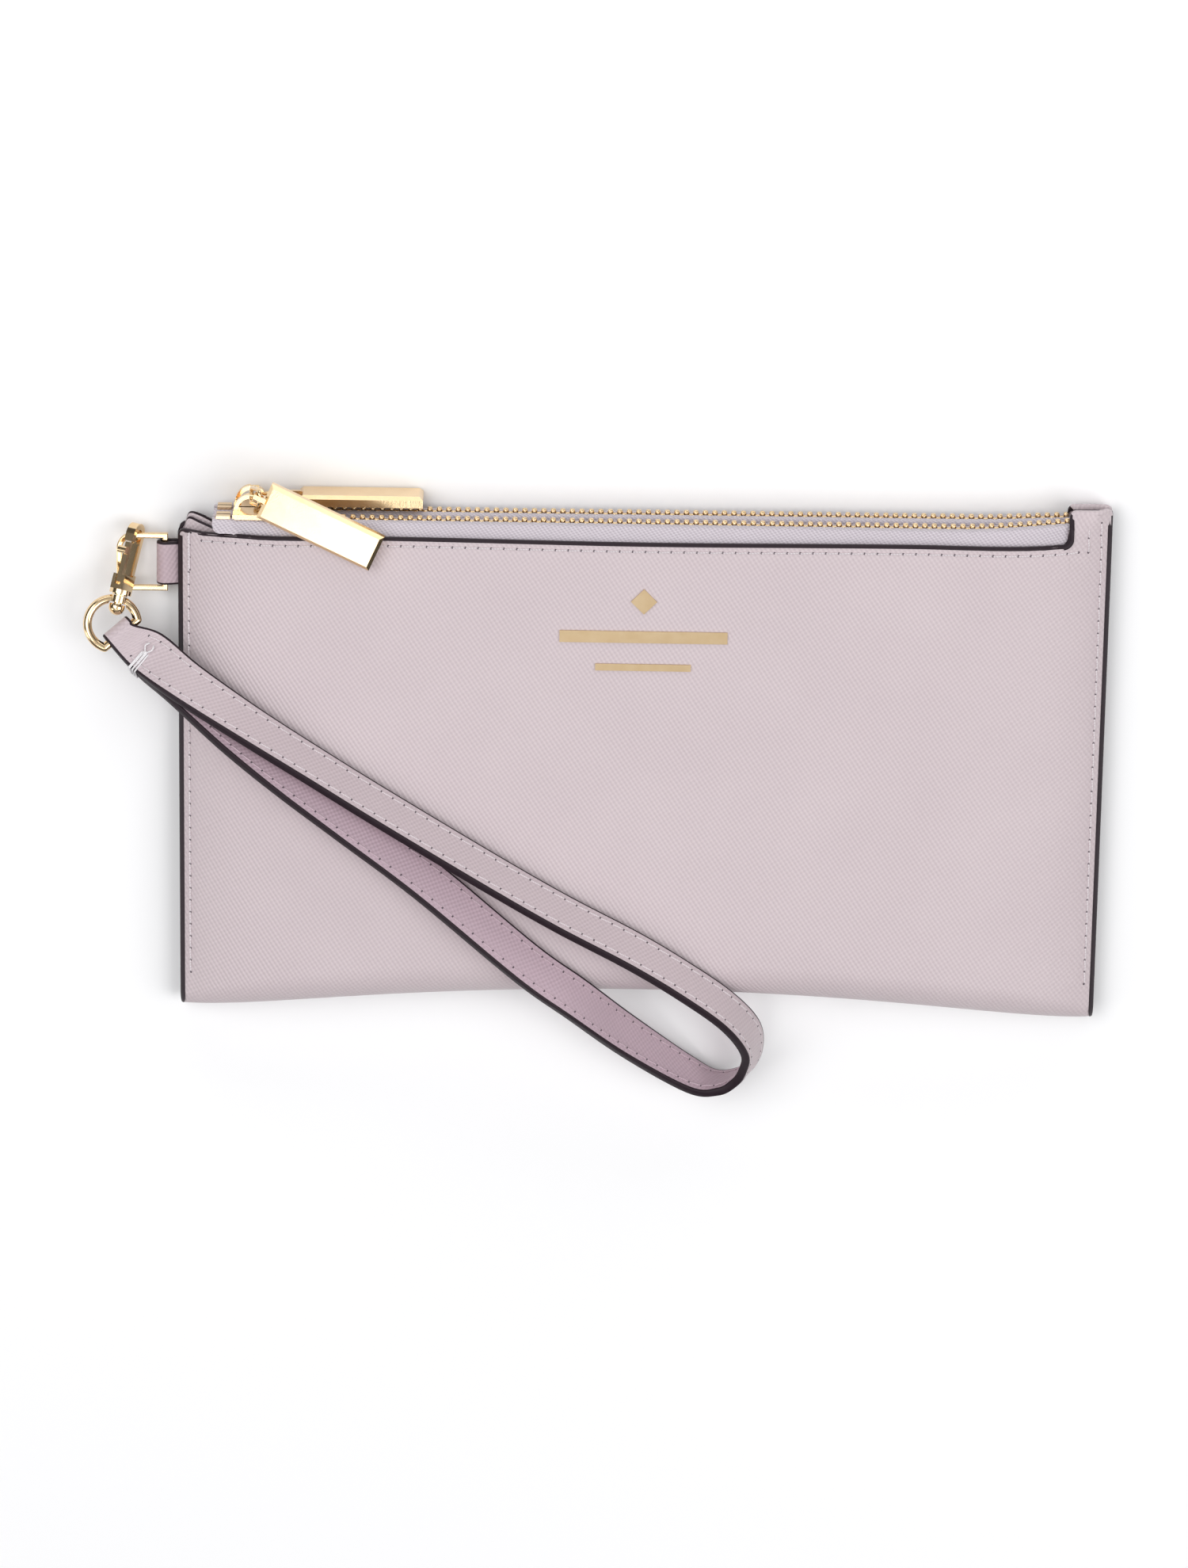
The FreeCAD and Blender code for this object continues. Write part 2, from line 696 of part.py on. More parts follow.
EYE_BOSS = size("hook_long") + 2.1
EYE_MIDDLE = HOOK_ORIGIN + HOOK_AXIS * (EYE_BOSS + size("eye_radius"))
FOLD_AXIS = Vector(0.75, 0.60, -0.28).normalize()
EYE_NORMAL = HOOK_AXIS.cross(FOLD_AXIS).normalize()
FOLD_OUT = FOLD_AXIS.cross(EYE_NORMAL).normalize()
FOLD_MIDDLE = EYE_MIDDLE + FOLD_OUT * size("eye_bar")


def swivel_eye():
    """A round wire eye with one straight side for the strap and a boss for the rivet."""
    radius, wire, bar = size("eye_radius"), size("eye_wire"), size("eye_bar")
    half = math.sqrt(radius**2 - bar**2)
    open_angle = math.degrees(math.acos(bar / radius))
    arc = Part.makeTorus(radius, wire, Vector(0, 0, 0), Vector(0, 0, 1), -180, 180, 360 - 2 * open_angle)
    arc.rotate(Vector(0, 0, 0), Vector(0, 0, 1), open_angle)
    arc.Placement = frame_at(EYE_MIDDLE, FOLD_OUT, EYE_NORMAL) * arc.Placement
    ends = [FOLD_MIDDLE + FOLD_AXIS * half, FOLD_MIDDLE - FOLD_AXIS * half]
    straight = Part.makeCylinder(wire, 2 * half, ends[1], FOLD_AXIS)
    knuckles = [Part.makeSphere(wire, end) for end in ends]
    boss_start = HOOK_ORIGIN + HOOK_AXIS * (EYE_BOSS - 0.75)
    boss = Part.makeCylinder(1.75, 1.5, boss_start, HOOK_AXIS)
    eye = arc.multiFuse([straight, *knuckles, boss])
    hole = Part.makeCylinder(0.95, 4, boss_start - HOOK_AXIS, HOOK_AXIS)
    inner_face = Part.makeCylinder(2.0, 1.4, boss_start + HOOK_AXIS * 1.5, HOOK_AXIS)
    outer_face = Part.makeCylinder(2.6, 1.2, boss_start - HOOK_AXIS * 1.2, HOOK_AXIS)
    return eye.cut(hole).cut(inner_face).cut(outer_face).Solids[0]


keep(solid_feature("swivel_eye", swivel_eye()), "swivel_eye")


# ---------------------------------------------------------------- wrist strap

# The loop's centre line in four stretches, from the swivel down, round the tip and back up.
# Each entry is x, y, z and the lean from upright, in degrees to the right of travel.
JOINED_LEG = [(-106.4, 23.7, 12.0, 62), (-98.0, 18.7, 17.4, 46), (-84.8, 11.0, 21.6, 36)]
UPPER_LEG = [
    (-69.7, 1.7, 22.8, 32), (-55.2, -7.4, 22.9, 32), (-32.2, -21.4, 22.9, 32),
    (-16.7, -30.4, 22.9, 32), (-1.2, -38.6, 22.9, 32), (9.8, -45.4, 22.5, 31),
]
TIP = [(19.3, -53.1, 19.6, 28), (24.6, -60.9, 14.5, 23), (25.0, -67.4, 10.2, 18),
       (23.0, -72.2, 7.6, 10), (18.0, -74.4, 6.6, -6), (11.5, -72.2, 7.2, -24)]
LOWER_LEG = [(-1.9, -61.8, 12.6, -36), (-13.4, -50.6, 20.4, -43), (-24.5, -41.9, 22.2, -45),
             (-46, -23.6, 22.0, -45), (-63.5, -10.3, 22.0, -43), (-75.8, -1.3, 21.4, -39),
             (-87.4, 7.4, 19.4, -35), (-99.2, 17.6, 15.4, -44)]


def side_of_travel(run):
    """Level direction to the right of travel."""
    return Vector(run.y, -run.x, 0).normalize()


def lean_frame(point, run, lean):
    """A strap cross-section's place: centre, upright edge direction and face normal."""
    run = Vector(run).normalize()
    angle = math.radians(lean)
    edge = Vector(0, 0, math.cos(angle)) + side_of_travel(run) * math.sin(angle)
    edge = (edge - run * edge.dot(run)).normalize()
    return point, edge, run.cross(edge).normalize()


def strap_route():
    """Cross-section places all the way round the loop; the last lies under the first."""
    leg = [*JOINED_LEG, *UPPER_LEG, *TIP, *LOWER_LEG]
    points = [Vector(*place[:3]) for place in leg]
    frames = []
    for i, place in enumerate(leg):
        before = points[i - 1] if i else FOLD_MIDDLE
        after = points[min(i + 1, len(leg) - 1)]
        frames.append(lean_frame(points[i], after - before, place[3]))
    point, edge, face = frames[0]
    return [*frames, (point + face * size("ply_spread"), edge, face * -1)]


def strap_section(point, edge, face, wide, thick):
    """The strap's rectangular cross-section."""
    a, b = edge * (wide / 2), face * (thick / 2)
    corners = [point + a + b, point - a + b, point - a - b, point + a - b]
    return Part.makePolygon([*corners, corners[0]])


def wrist_strap():
    """The whole loop: round the eye's bar, down the upper leg, round the tip and back."""
    wide, thick = size("strap_wide"), size("strap_thick")
    frames = strap_route()
    sections = [strap_section(*frame, wide, thick) for frame in frames]
    fold_thick, fold_wide = size("fold_thick"), size("fold_wide")
    radius = size("eye_wire") + 0.15 + fold_thick / 2
    over = frames[0][2] * -1
    fold_face = (over - FOLD_AXIS * over.dot(FOLD_AXIS)).normalize()
    away = fold_face.cross(FOLD_AXIS).normalize()
    if away.dot(frames[0][0] - FOLD_MIDDLE) < 0:
        away = away * -1

    def fold_section(turn):
        """A cross-section part of the way round the bar: 90 is the upper side."""
        angle = math.radians(turn)
        out = fold_face * math.sin(angle) + away * math.cos(angle)
        point = FOLD_MIDDLE + out * radius
        return strap_section(point, FOLD_AXIS * -1, out * -1, fold_wide, fold_thick)

    start = [fold_section(turn) for turn in (182, 150, 120, 90, 62)]
    end = [fold_section(turn) for turn in (-62, -90, -120, -150, -176)]
    return Part.makeLoft([*start, *sections, *end], True, False)


keep(solid_feature("wrist_strap", wrist_strap()), "wrist_strap")


def bar_tack():
    """Thread wound tightly round both plies of the strap beside the swivel."""
    point, edge, face = strap_route()[0]
    middle = point + face * (size("ply_spread") / 2)
    place = frame_at(middle, edge, face)
    wide, deep = size("strap_wide") + 1.3, size("strap_thick") + size("ply_spread") + 1.9
    outer = Part.makeBox(wide, 1.6, deep, Vector(-wide / 2, -0.8, -deep / 2))
    inner = Part.makeBox(wide - 0.6, 3, deep - 0.6, Vector(-wide / 2 + 0.3, -1.5, -deep / 2 + 0.3))
    return solid_feature("bar_tack", outer.cut(inner), place)


keep(bar_tack(), "strap_bar_tack")


# ---------------------------------------------------------------- badge on the front panel


def badge_bar(middle, long, tall):
    """A thin raised metal bar."""
    low, high = middle - tall / 2, middle + tall / 2
    return block((-long / 2, low, "full_depth"), (long / 2, high, "full_depth + badge_thick"))


keep(badge_bar(30.5, 36.0, 2.6), "badge_bar_long")
keep(badge_bar(23.7, 20.5, 1.5), "badge_bar_short")
diamond = doc.addObject("Part::RegularPolygon", "diamond_outline")
diamond.Polygon = 4
diamond.Circumradius = 2.8
raised = doc.addObject("Part::Extrusion", "diamond")
raised.Base = diamond
raised.DirMode = "Custom"
raised.Dir = Vector(0, 0, 1)
raised.setExpression("LengthFwd", formula("badge_thick"))
raised.Solid = True
raised.Placement = FreeCAD.Placement(Vector(0, 38.4, size("full_depth")), FreeCAD.Rotation())
keep(raised, "badge_diamond")


# ---------------------------------------------------------------- checks and export

doc.recompute()
for feature in doc.Objects:
    if "Invalid" in feature.State or "Error" in feature.State:
        raise RuntimeError(f"{feature.Label} failed: {feature.State}")

os.makedirs("parts", exist_ok=True)
for feature in nodes:
    shape = feature.Shape
    if shape.isNull() or not shape.isValid():
        raise RuntimeError(f"{feature.Label} has no sound shape")
    box = shape.BoundBox
    print(f"{feature.Label:24s} {shape.Volume:9.2f} mm3  x {box.XMin:7.1f} {box.XMax:7.1f}"
          f"  y {box.YMin:6.1f} {box.YMax:6.1f}  z {box.ZMin:5.1f} {box.ZMax:5.1f}")
    shape.exportStep(f"parts/{feature.Label}.step")
print(f"{len(nodes)} sub-parts written")
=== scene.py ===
"""Looks of the wristlet wallet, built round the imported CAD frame.

Lengths are in millimetres on the frame's own axes: X along the wallet, Y up it to the zips
and Z out of its front panel. Only the lights and the camera's distance are in metres.
Angles given as numbers are in degrees.
"""

import math
import random

import bmesh
import bpy
from mathutils import Matrix, Vector


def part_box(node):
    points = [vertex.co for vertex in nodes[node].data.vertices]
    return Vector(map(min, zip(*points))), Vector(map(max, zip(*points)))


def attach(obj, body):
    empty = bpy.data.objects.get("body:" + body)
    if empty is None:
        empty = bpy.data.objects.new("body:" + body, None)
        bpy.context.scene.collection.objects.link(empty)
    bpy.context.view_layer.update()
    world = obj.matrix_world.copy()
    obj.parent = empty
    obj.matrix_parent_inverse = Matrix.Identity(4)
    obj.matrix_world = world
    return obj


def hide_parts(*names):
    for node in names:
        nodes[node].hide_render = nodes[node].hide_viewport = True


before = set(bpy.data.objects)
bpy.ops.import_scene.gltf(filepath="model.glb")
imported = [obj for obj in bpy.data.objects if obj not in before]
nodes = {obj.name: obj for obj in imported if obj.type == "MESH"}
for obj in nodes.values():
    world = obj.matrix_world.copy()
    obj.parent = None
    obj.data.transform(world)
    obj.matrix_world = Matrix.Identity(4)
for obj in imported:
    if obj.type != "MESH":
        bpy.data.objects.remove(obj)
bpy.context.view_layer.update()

MM = 0.001
UP_Y, OUT_Z = Vector((0, 1, 0)), Vector((0, 0, 1))
random.seed(7)


# ---------- sizes taken from the frame


def box_mm(node):
    """A CAD node's lowest and highest corners, in millimetres."""
    return tuple(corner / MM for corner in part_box(node))


wrap_low, wrap_high = box_mm("outer_wrap")
HALF = wrap_high.x
TAB_TOP = wrap_high.y
FULL_DEPTH = wrap_high.z
# The foot hangs lower at its corners than in its middle.
BOTTOM_DROP = 6.8
BOTTOM_MIDDLE = wrap_low.y + BOTTOM_DROP
PANEL_TOP = 50.5
TAB_START = 91.0
CORNER = 1.4
LEATHER = 1.4
TAPER = 0.75
# Depths at the side seams and of the divider's middle, and how fast the swell sets in.
EDGE_DEPTH = 6.0
DIVIDER_DEPTH = 8.2
SWELL_POWER, SWELL_EASE = 8, 0.9
# The height where the two tabs start to lean together, and the depths that they end at.
TAB_LEAN = 54.3
TAB_LEAN_POWER = 1.3
FRONT_TAB_DEPTH = 8.9
BACK_TAB_RISE = 2.6
# Stitch length, how far in from an edge each seam runs, and the dip that it draws.
STITCH = 2.75
SIDE_SEAM = 2.1
TOP_SEAM = 1.65
SEAM_SPREAD = 0.5
SIDE_DIP, TOP_DIP = 0.10, 0.09
EDGE_WAVER = ((-99, -0.7), (-86, 0.1), (-56, 1.0), (0, 0.6), (56, 1.0), (89, 0.3))


def fullness(x):
    """0 at the side seams and 1 across the middle."""
    return max(0.0, 1 - min(abs(x) / HALF, 1.0) ** SWELL_POWER) ** SWELL_EASE


def front_depth(x):
    """Depth of the front panel's outer face."""
    return EDGE_DEPTH + (FULL_DEPTH - EDGE_DEPTH) * fullness(x)


def divider_level(x):
    """Depth of the divider board's middle."""
    return EDGE_DEPTH / 2 + (DIVIDER_DEPTH - EDGE_DEPTH / 2) * fullness(x)


def half_at(y):
    """Half the wallet's width at a height: the sides draw in towards the foot."""
    return HALF - TAPER * (PANEL_TOP - min(y, PANEL_TOP)) / (PANEL_TOP - wrap_low.y + 1)


def fold_at(x):
    """Height and radius of the half-round bottom fold."""
    radius = front_depth(x) / 2
    return BOTTOM_MIDDLE - BOTTOM_DROP * (x / HALF) ** 2 + radius, radius


def arc_rise(distance):
    """Height of a quarter round corner at a distance from its tangent line."""
    return math.sqrt(max(0.0, CORNER**2 - min(distance, CORNER) ** 2))


def eased(x, knots):
    """A value that goes softly from one (place, value) knot to the next."""
    if x <= knots[0][0]:
        return knots[0][1]
    for (a, low), (b, high) in zip(knots, knots[1:]):
        if x < b:
            share = (x - a) / (b - a)
            return low + (high - low) * share * share * (3 - 2 * share)
    return knots[-1][1]


def edge_rise(x):
    """How far the panels' top edge has drawn up or down from its nominal height."""
    return eased(x, EDGE_WAVER)


def top_at(x):
    """Height of the panels' top edge, with the tab beside the zips' closed end."""
    level = PANEL_TOP + edge_rise(x)
    if x < -HALF + CORNER:
        return level - CORNER + arc_rise(-HALF + CORNER - x)
    if x < TAB_START - CORNER:
        return level
    if x < TAB_START:
        return level + CORNER - arc_rise(x - TAB_START + CORNER)
    if x < TAB_START + CORNER:
        return TAB_TOP - CORNER + arc_rise(TAB_START + CORNER - x)
    if x < HALF - CORNER:
        return TAB_TOP
    return TAB_TOP - CORNER + arc_rise(x - HALF + CORNER)


# ---------- mesh helpers


WELD = 0.004


def linked(name, data):
    """A new object in the scene."""
    made = bpy.data.objects.new(name, data)
    bpy.context.scene.collection.objects.link(made)
    return made


class Build:
    """Collects points, faces, material numbers and texture coordinates, in millimetres."""

    def __init__(self):
        self.points, self.faces, self.numbers, self.marks = [], [], [], []

    def grid(self, rows, marks, number=0):
        """Quads over rows of points. number is a material or a function of the quad."""
        start, wide = len(self.points), len(rows[0])
        for row, mark_row in zip(rows, marks):
            self.points += row
            self.marks += mark_row
        for r in range(len(rows) - 1):
            for c in range(wide - 1):
                near = start + r * wide + c
                self.faces.append((near, near + 1, near + wide + 1, near + wide))
                self.numbers.append(number(r, c) if callable(number) else number)

    def ply(self, front, back, marks, back_number=0, rim_number=0):
        """Two faces of a sheet and the rim that joins them."""
        self.grid(front, marks)
        self.grid(back, marks, back_number)
        for end in (0, -1):
            self.grid([front[end], back[end]], [marks[end]] * 2, rim_number)
            *sides, mark_side = ([row[end] for row in rows] for rows in (front, back, marks))
            self.grid(sides, [mark_side] * 2, rim_number)

    def tube(self, path, radius, sides=6):
        """A round thread or wire along a path, closed flat at its start and drawn in to a
        point, with a disc round it, at its end."""
        rows, marks, length = [], [], 0.0
        side = None
        for i, point in enumerate(path):
            before, after = around(path, i)
            run = (after - before).normalized()
            side = perpendicular(run, side)
            length += (point - before).length
            rows.append([point + out * radius for out in spokes(side, run.cross(side), sides)])
            marks.append([(length, k * radius) for k in range(sides + 1)])
        for end in (0, -1):
            rows.insert(end, [path[end]] * (sides + 1))
            marks.insert(end, [marks[end][0]] * (sides + 1))
        self.grid(rows, marks)

    def pebble(self, centre, halves, square, across=10, up=6):
        """A rounded block: a superellipsoid with three half sizes."""

        def power(value):
            return math.copysign(abs(value) ** square, value)

        rows, marks = [], []
        for r in range(up + 1):
            tilt = math.pi * (r / up - 0.5)
            row = [
                centre + Vector((
                    halves[0] * power(math.cos(tilt)) * power(math.cos(turn)),
                    halves[1] * power(math.cos(tilt)) * power(math.sin(turn)),
                    halves[2] * power(math.sin(tilt)),
                ))
                for turn in round_turn(across)
            ]
            rows.append(row)
            marks.append([(p.x, p.y) for p in row])
        self.grid(rows, marks)

    def finish(self, name, materials, replaces=(), body="wallet", sharp=50.0):
        """The piece itself, riding on its CAD body."""
        mesh = bpy.data.meshes.new(name)
        mesh.from_pydata([p * MM for p in self.points], [], self.faces)
        for made in materials:
            mesh.materials.append(made)
        mesh.polygons.foreach_set("material_index", self.numbers)
        places = [part for loop in mesh.loops for part in self.marks[loop.vertex_index]]
        mesh.uv_layers.new(name="Measure").data.foreach_set("uv", places)
        edit = bmesh.new()
        edit.from_mesh(mesh)
        bmesh.ops.remove_doubles(edit, verts=edit.verts, dist=WELD * MM)
        bmesh.ops.recalc_face_normals(edit, faces=edit.faces)
        edit.to_mesh(mesh)
        edit.free()
        mesh.shade_smooth()
        mesh.set_sharp_from_angle(angle=math.radians(sharp))
        piece = linked(name, mesh)
        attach(piece, body)
        if replaces:
            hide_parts(*replaces)
        return piece


def round_turn(steps):
    """Angles all the way round in even steps, both ends included."""
    return [2 * math.pi * k / steps for k in range(steps + 1)]


def spokes(side, other, steps):
    """Unit directions all the way round, from one direction towards another."""
    return [side * math.cos(turn) + other * math.sin(turn) for turn in round_turn(steps)]


def around(path, i):
    """The items before and after one in a list, or the item itself at an end."""
    return path[max(i - 1, 0)], path[min(i + 1, len(path) - 1)]


def closed_ring(ring, place):
    """A cross-section's points with the first one again at the end, and their texture
    coordinates: a place along the piece and the way travelled round it."""
    row, travel = [*ring, ring[0]], [0.0]
    for a, b in zip(row, row[1:]):
        travel.append(travel[-1] + (b - a).length)
    return row, [(place, way) for way in travel]


def perpendicular(run, near=None):
    """A unit vector square to a direction, as close as it can be to another one."""
    guess = near or (OUT_Z if abs(run.z) < 0.9 else Vector((1, 0, 0)))
    flat = guess - run * guess.dot(run)
    if flat.length < 1e-6:
        flat = run.orthogonal()
    return flat.normalized()


def through(knots, steps):
    """A smooth Catmull-Rom run through knots, each a tuple of numbers of any length."""
    made = []
    last = len(knots) - 1
    for i in range(last):
        a, b, c, d = (knots[max(0, min(last, i + k))] for k in (-1, 0, 1, 2))
        for s in range(steps):
            t = s / steps
            made.append(tuple(
                0.5 * (2 * q + (r - p) * t + (2 * p - 5 * q + 4 * r - v) * t * t
                       + (3 * q - p - 3 * r + v) * t**3)
                for p, q, r, v in zip(a, b, c, d)
            ))
    made.append(tuple(knots[-1]))
    return made


def spaced(path, pitch):
    """Places at an even pitch along a path of (point, normal) pairs."""
    places, need = [path[0]], pitch
    for (a, na), (b, nb) in zip(path, path[1:]):
        run, done = (b - a).length, 0.0
        while run - done >= need:
            done += need
            share = done / run
            places.append((a.lerp(b, share), na.lerp(nb, share).normalized()))
            need = pitch
        need -= run - done
    return places


# ---------- materials


# The wave texture's own pitch, at scale 1.
WAVE_LENGTH = 2 * math.pi / 20


class Shader:
    """A material whose nodes are added one call at a time."""

    def __init__(self, name):
        self.made = bpy.data.materials.new(name)
        self.made.use_nodes = True
        self.tree = self.made.node_tree
        self.tree.nodes.clear()
        self.surface = self.add("BsdfPrincipled")
        out = self.add("OutputMaterial")
        self.tree.links.new(self.surface.outputs[0], out.inputs["Surface"])

    def add(self, kind, settings=None, **inputs):
        """One shader node. Its inputs are values or the outputs of other nodes."""
        node = self.tree.nodes.new(f"ShaderNode{kind}")
        for key, value in (settings or {}).items():
            setattr(node, key, value)
        self.feed(node, **inputs)
        return node

    def feed(self, node, **inputs):
        """Sets or links a node's inputs, named with _ for a space or as i and a number."""
        for key, value in inputs.items():
            label = key.replace("_", " ")
            socket = node.inputs[int(key[1:])] if key[1:].isdigit() else node.inputs[label]
            if isinstance(value, bpy.types.NodeSocket):
                self.tree.links.new(value, socket)
            else:
                socket.default_value = value

    def measure(self, turn=0.0):
        """Texture coordinates in millimetres along the piece, turned by an angle."""
        place = self.add("UVMap", {"uv_map": "Measure"}).outputs[0]
        turned = (0, 0, math.radians(turn))
        return self.add("Mapping", Vector=place, Rotation=turned).outputs[0]

    def solid(self):
        """Texture coordinates in millimetres through the solid."""
        place = self.add("TexCoord").outputs["Object"]
        return self.add("Mapping", Vector=place, Scale=(1 / MM,) * 3).outputs[0]

    def stripes(self, vector, pitch, wander):
        """Soft parallel ridges at a pitch, a little uneven."""
        return self.add(
            "TexWave", {"wave_type": "BANDS", "bands_direction": "X"}, Vector=vector,
            Scale=WAVE_LENGTH / pitch, Distortion=wander, Detail=1.0, Detail_Scale=1.4,
        ).outputs["Fac"]

    def noise(self, vector, grain, detail=3.0):
        """Cloudy variation with a grain in millimetres."""
        return self.add(
            "TexNoise", Vector=vector, Scale=1 / grain, Detail=detail, Roughness=0.55
        ).outputs["Fac"]

    def mix(self, share, low, high):
        """A colour between two that are given as red, green and blue."""
        return self.add(
            "Mix", {"data_type": "RGBA"}, i0=share, i6=(*low, 1), i7=(*high, 1)
        ).outputs[2]

    def sum(self, first, second, weight_first, weight_second):
        """A weighted sum of two values."""
        scaled = self.add("Math", {"operation": "MULTIPLY"}, i0=first, i1=weight_first)
        return self.add(
            "Math", {"operation": "MULTIPLY_ADD"},
            i0=second, i1=weight_second, i2=scaled.outputs[0],
        ).outputs[0]

    def span(self, value, low, high):
        """A 0 to 1 value spread between two others."""
        return self.add("MapRange", Value=value, To_Min=low, To_Max=high).outputs[0]

    def bump(self, height, distance):
        """A surface relief and its depth."""
        relief = self.add("Bump", Height=height, Distance=distance * MM, Strength=1.0)
        self.feed(self.surface, Normal=relief.outputs[0])


HATCH_TURN, HATCH_PITCH = -33, 0.86


def grained_leather(name, low, high, rough=0.5, relief=0.09):
    """Leather pressed with a fine diagonal crosshatch."""
    shader = Shader(name)
    rows, cross = (
        shader.stripes(shader.measure(HATCH_TURN + turn), HATCH_PITCH, 0.3) for turn in (0, 90)
    )
    hatch = shader.sum(rows, cross, 0.64, 0.36)
    cloud = shader.noise(shader.measure(), 26.0)
    fine = shader.noise(shader.measure(), 0.35)
    tone = shader.sum(hatch, cloud, 0.6, 0.4)
    shader.feed(
        shader.surface, Base_Color=shader.mix(tone, low, high),
        Roughness=shader.span(shader.sum(cloud, fine, 0.5, 0.5), rough - 0.07, rough + 0.09),
        Specular_IOR_Level=0.42, Sheen_Weight=0.08,
    )
    shader.bump(shader.sum(hatch, fine, 0.92, 0.10), relief)
    return shader.made


def clouded(name, grain, low, high, rough, shine=0.5, relief=0.0):
    """A plain matt surface, cloudy through the solid."""
    shader = Shader(name)
    cloud = shader.noise(shader.solid(), grain)
    shader.feed(
        shader.surface, Base_Color=shader.mix(cloud, low, high),
        Roughness=shader.span(cloud, *rough), Specular_IOR_Level=shine,
    )
    if relief:
        shader.bump(cloud, relief)
    return shader.made


def woven(name, low, high, pitch, relief=0.10):
    """Twill cloth: diagonal ribs crossed by the weft."""
    shader = Shader(name)
    ribs = shader.stripes(shader.measure(38), pitch, 0.3)
    weft = shader.stripes(shader.measure(-70), pitch * 0.8, 0.4)
    weave = shader.sum(ribs, weft, 0.6, 0.4)
    fluff = shader.noise(shader.measure(), 0.25)
    shader.feed(
        shader.surface, Base_Color=shader.mix(shader.sum(weave, fluff, 0.7, 0.3), low, high),
        Roughness=shader.span(fluff, 0.77, 0.93), Sheen_Weight=0.3, Specular_IOR_Level=0.25,
    )
    shader.bump(shader.sum(weave, fluff, 0.8, 0.2), relief)
    return shader.made


def thread(name, low, high):
    """Waxed sewing thread with a visible twist."""
    shader = Shader(name)
    twist = shader.stripes(shader.measure(55), 0.34, 0.2)
    shader.feed(
        shader.surface, Base_Color=shader.mix(twist, low, high),
        Roughness=shader.span(twist, 0.5, 0.66), Sheen_Weight=0.15,
    )
    shader.bump(twist, 0.05)
    return shader.made


GOLD_LOW, GOLD_HIGH = (0.80, 0.57, 0.31), (0.91, 0.71, 0.45)


def gold(name, rough, brushed=0.0, depth=1.0):
    """Pale gold plating with faint rubbing marks. brushed is the depth of its brush lines, and
    depth darkens the colour as painted shade."""
    shader = Shader(name)
    place = shader.solid()
    cloud = shader.noise(place, 3.0)
    rub = shader.noise(place, 0.25, 5.0)
    height = rub
    if brushed:
        lines = shader.add("Mapping", Vector=place, Scale=(6.0, 0.3, 0.3)).outputs[0]
        height = shader.noise(lines, 1.0, 2.0)
    low, high = ([part * depth for part in tone] for tone in (GOLD_LOW, GOLD_HIGH))
    shader.feed(
        shader.surface, Metallic=1.0, Base_Color=shader.mix(cloud, low, high),
        Roughness=shader.span(shader.sum(cloud, rub, 0.5, 0.5), rough, rough + 0.10),
    )
    shader.bump(height, 0.004 + brushed)
    return shader.made


LILAC = grained_leather("saffiano", (0.545, 0.455, 0.48), (0.69, 0.598, 0.612), relief=0.11)
STRAP_OUT = grained_leather("strap_outer", (0.525, 0.435, 0.462), (0.64, 0.545, 0.565))
# The strap's inner face is the strap leather darkened as painted shade inside the loop, with a
# mauve tint painted as light reflected between its legs.
SHADED_STRAP_IN = grained_leather("strap_inner_shaded", (0.49, 0.365, 0.42), (0.60, 0.465, 0.52))
TAB = grained_leather("tab_leather", (0.44, 0.335, 0.37), (0.54, 0.42, 0.455))
SMOOTH = grained_leather("inner_leather", (0.36, 0.27, 0.32), (0.46, 0.36, 0.41), 0.55, 0.04)
PAINT = clouded(
    "edge_paint", 0.9, (0.014, 0.007, 0.011), (0.03, 0.017, 0.024), (0.42, 0.58), 0.25, 0.05,
)
TAPE = woven("zip_tape", (0.44, 0.385, 0.43), (0.78, 0.72, 0.765), 0.72, relief=0.16)
LINING = woven("lining_twill", (0.17, 0.13, 0.16), (0.30, 0.25, 0.28), 0.45)
BOARD = woven("pressed_board", (0.42, 0.38, 0.33), (0.55, 0.50, 0.45), 0.9)
THREAD = thread("seam_thread", (0.62, 0.55, 0.57), (0.84, 0.78, 0.80))
# Thread for the strap's inner face: the seam thread darkened and tinted mauve as painted shade,
# like that face.
SHADED_THREAD = thread("inner_thread_painted_shade", (0.50, 0.38, 0.43), (0.66, 0.53, 0.58))
TACK_THREAD = thread("tack_thread", (0.74, 0.72, 0.74), (0.92, 0.90, 0.91))
# Dark discs at the needle holes: painted shade inside each hole.
HOLE_SHADE = clouded("needle_hole_painted_shade", 0.3, (0.075, 0.055, 0.068), (0.15, 0.115, 0.135), (0.8, 0.95))
GOLD = gold("pale_gold", 0.07)
# The badge's gold is darkened as painted shade for its relief, which the flat badge pieces lack.
SHADED_BADGE_GOLD = gold("badge_gold_painted_shade", 0.26, depth=0.78)
TOOTH_GOLD = gold("tooth_gold", 0.2)
BRUSHED_GOLD = gold("brushed_gold", 0.16, 0.02)


# ---------- outer leather

EDGE_STEPS = (
    0, 0.3, 0.6, 0.95, 1.3, 1.7, 2.1, 2.5, 3, 3.6, 4.4, 5.4, 6.6, 8, 10, 12.5, 15.5, 19, 23, 28,
)
FILLET_STEPS = (0, 0.5, 0.8, 1.05, 1.25, 1.36)


def wrap_columns():
    """Places across the wrap, close together where it bends or its outline turns."""
    places = {sign * (HALF - step) for sign in (-1, 1) for step in EDGE_STEPS}
    places |= {float(x) for x in range(-70, 75, 5)}
    places |= {TAB_START - CORNER + step for step in FILLET_STEPS}
    places |= {TAB_START + CORNER - step for step in FILLET_STEPS}
    places |= {TAB_START - 0.02, TAB_START + 0.02}
    return sorted(places)


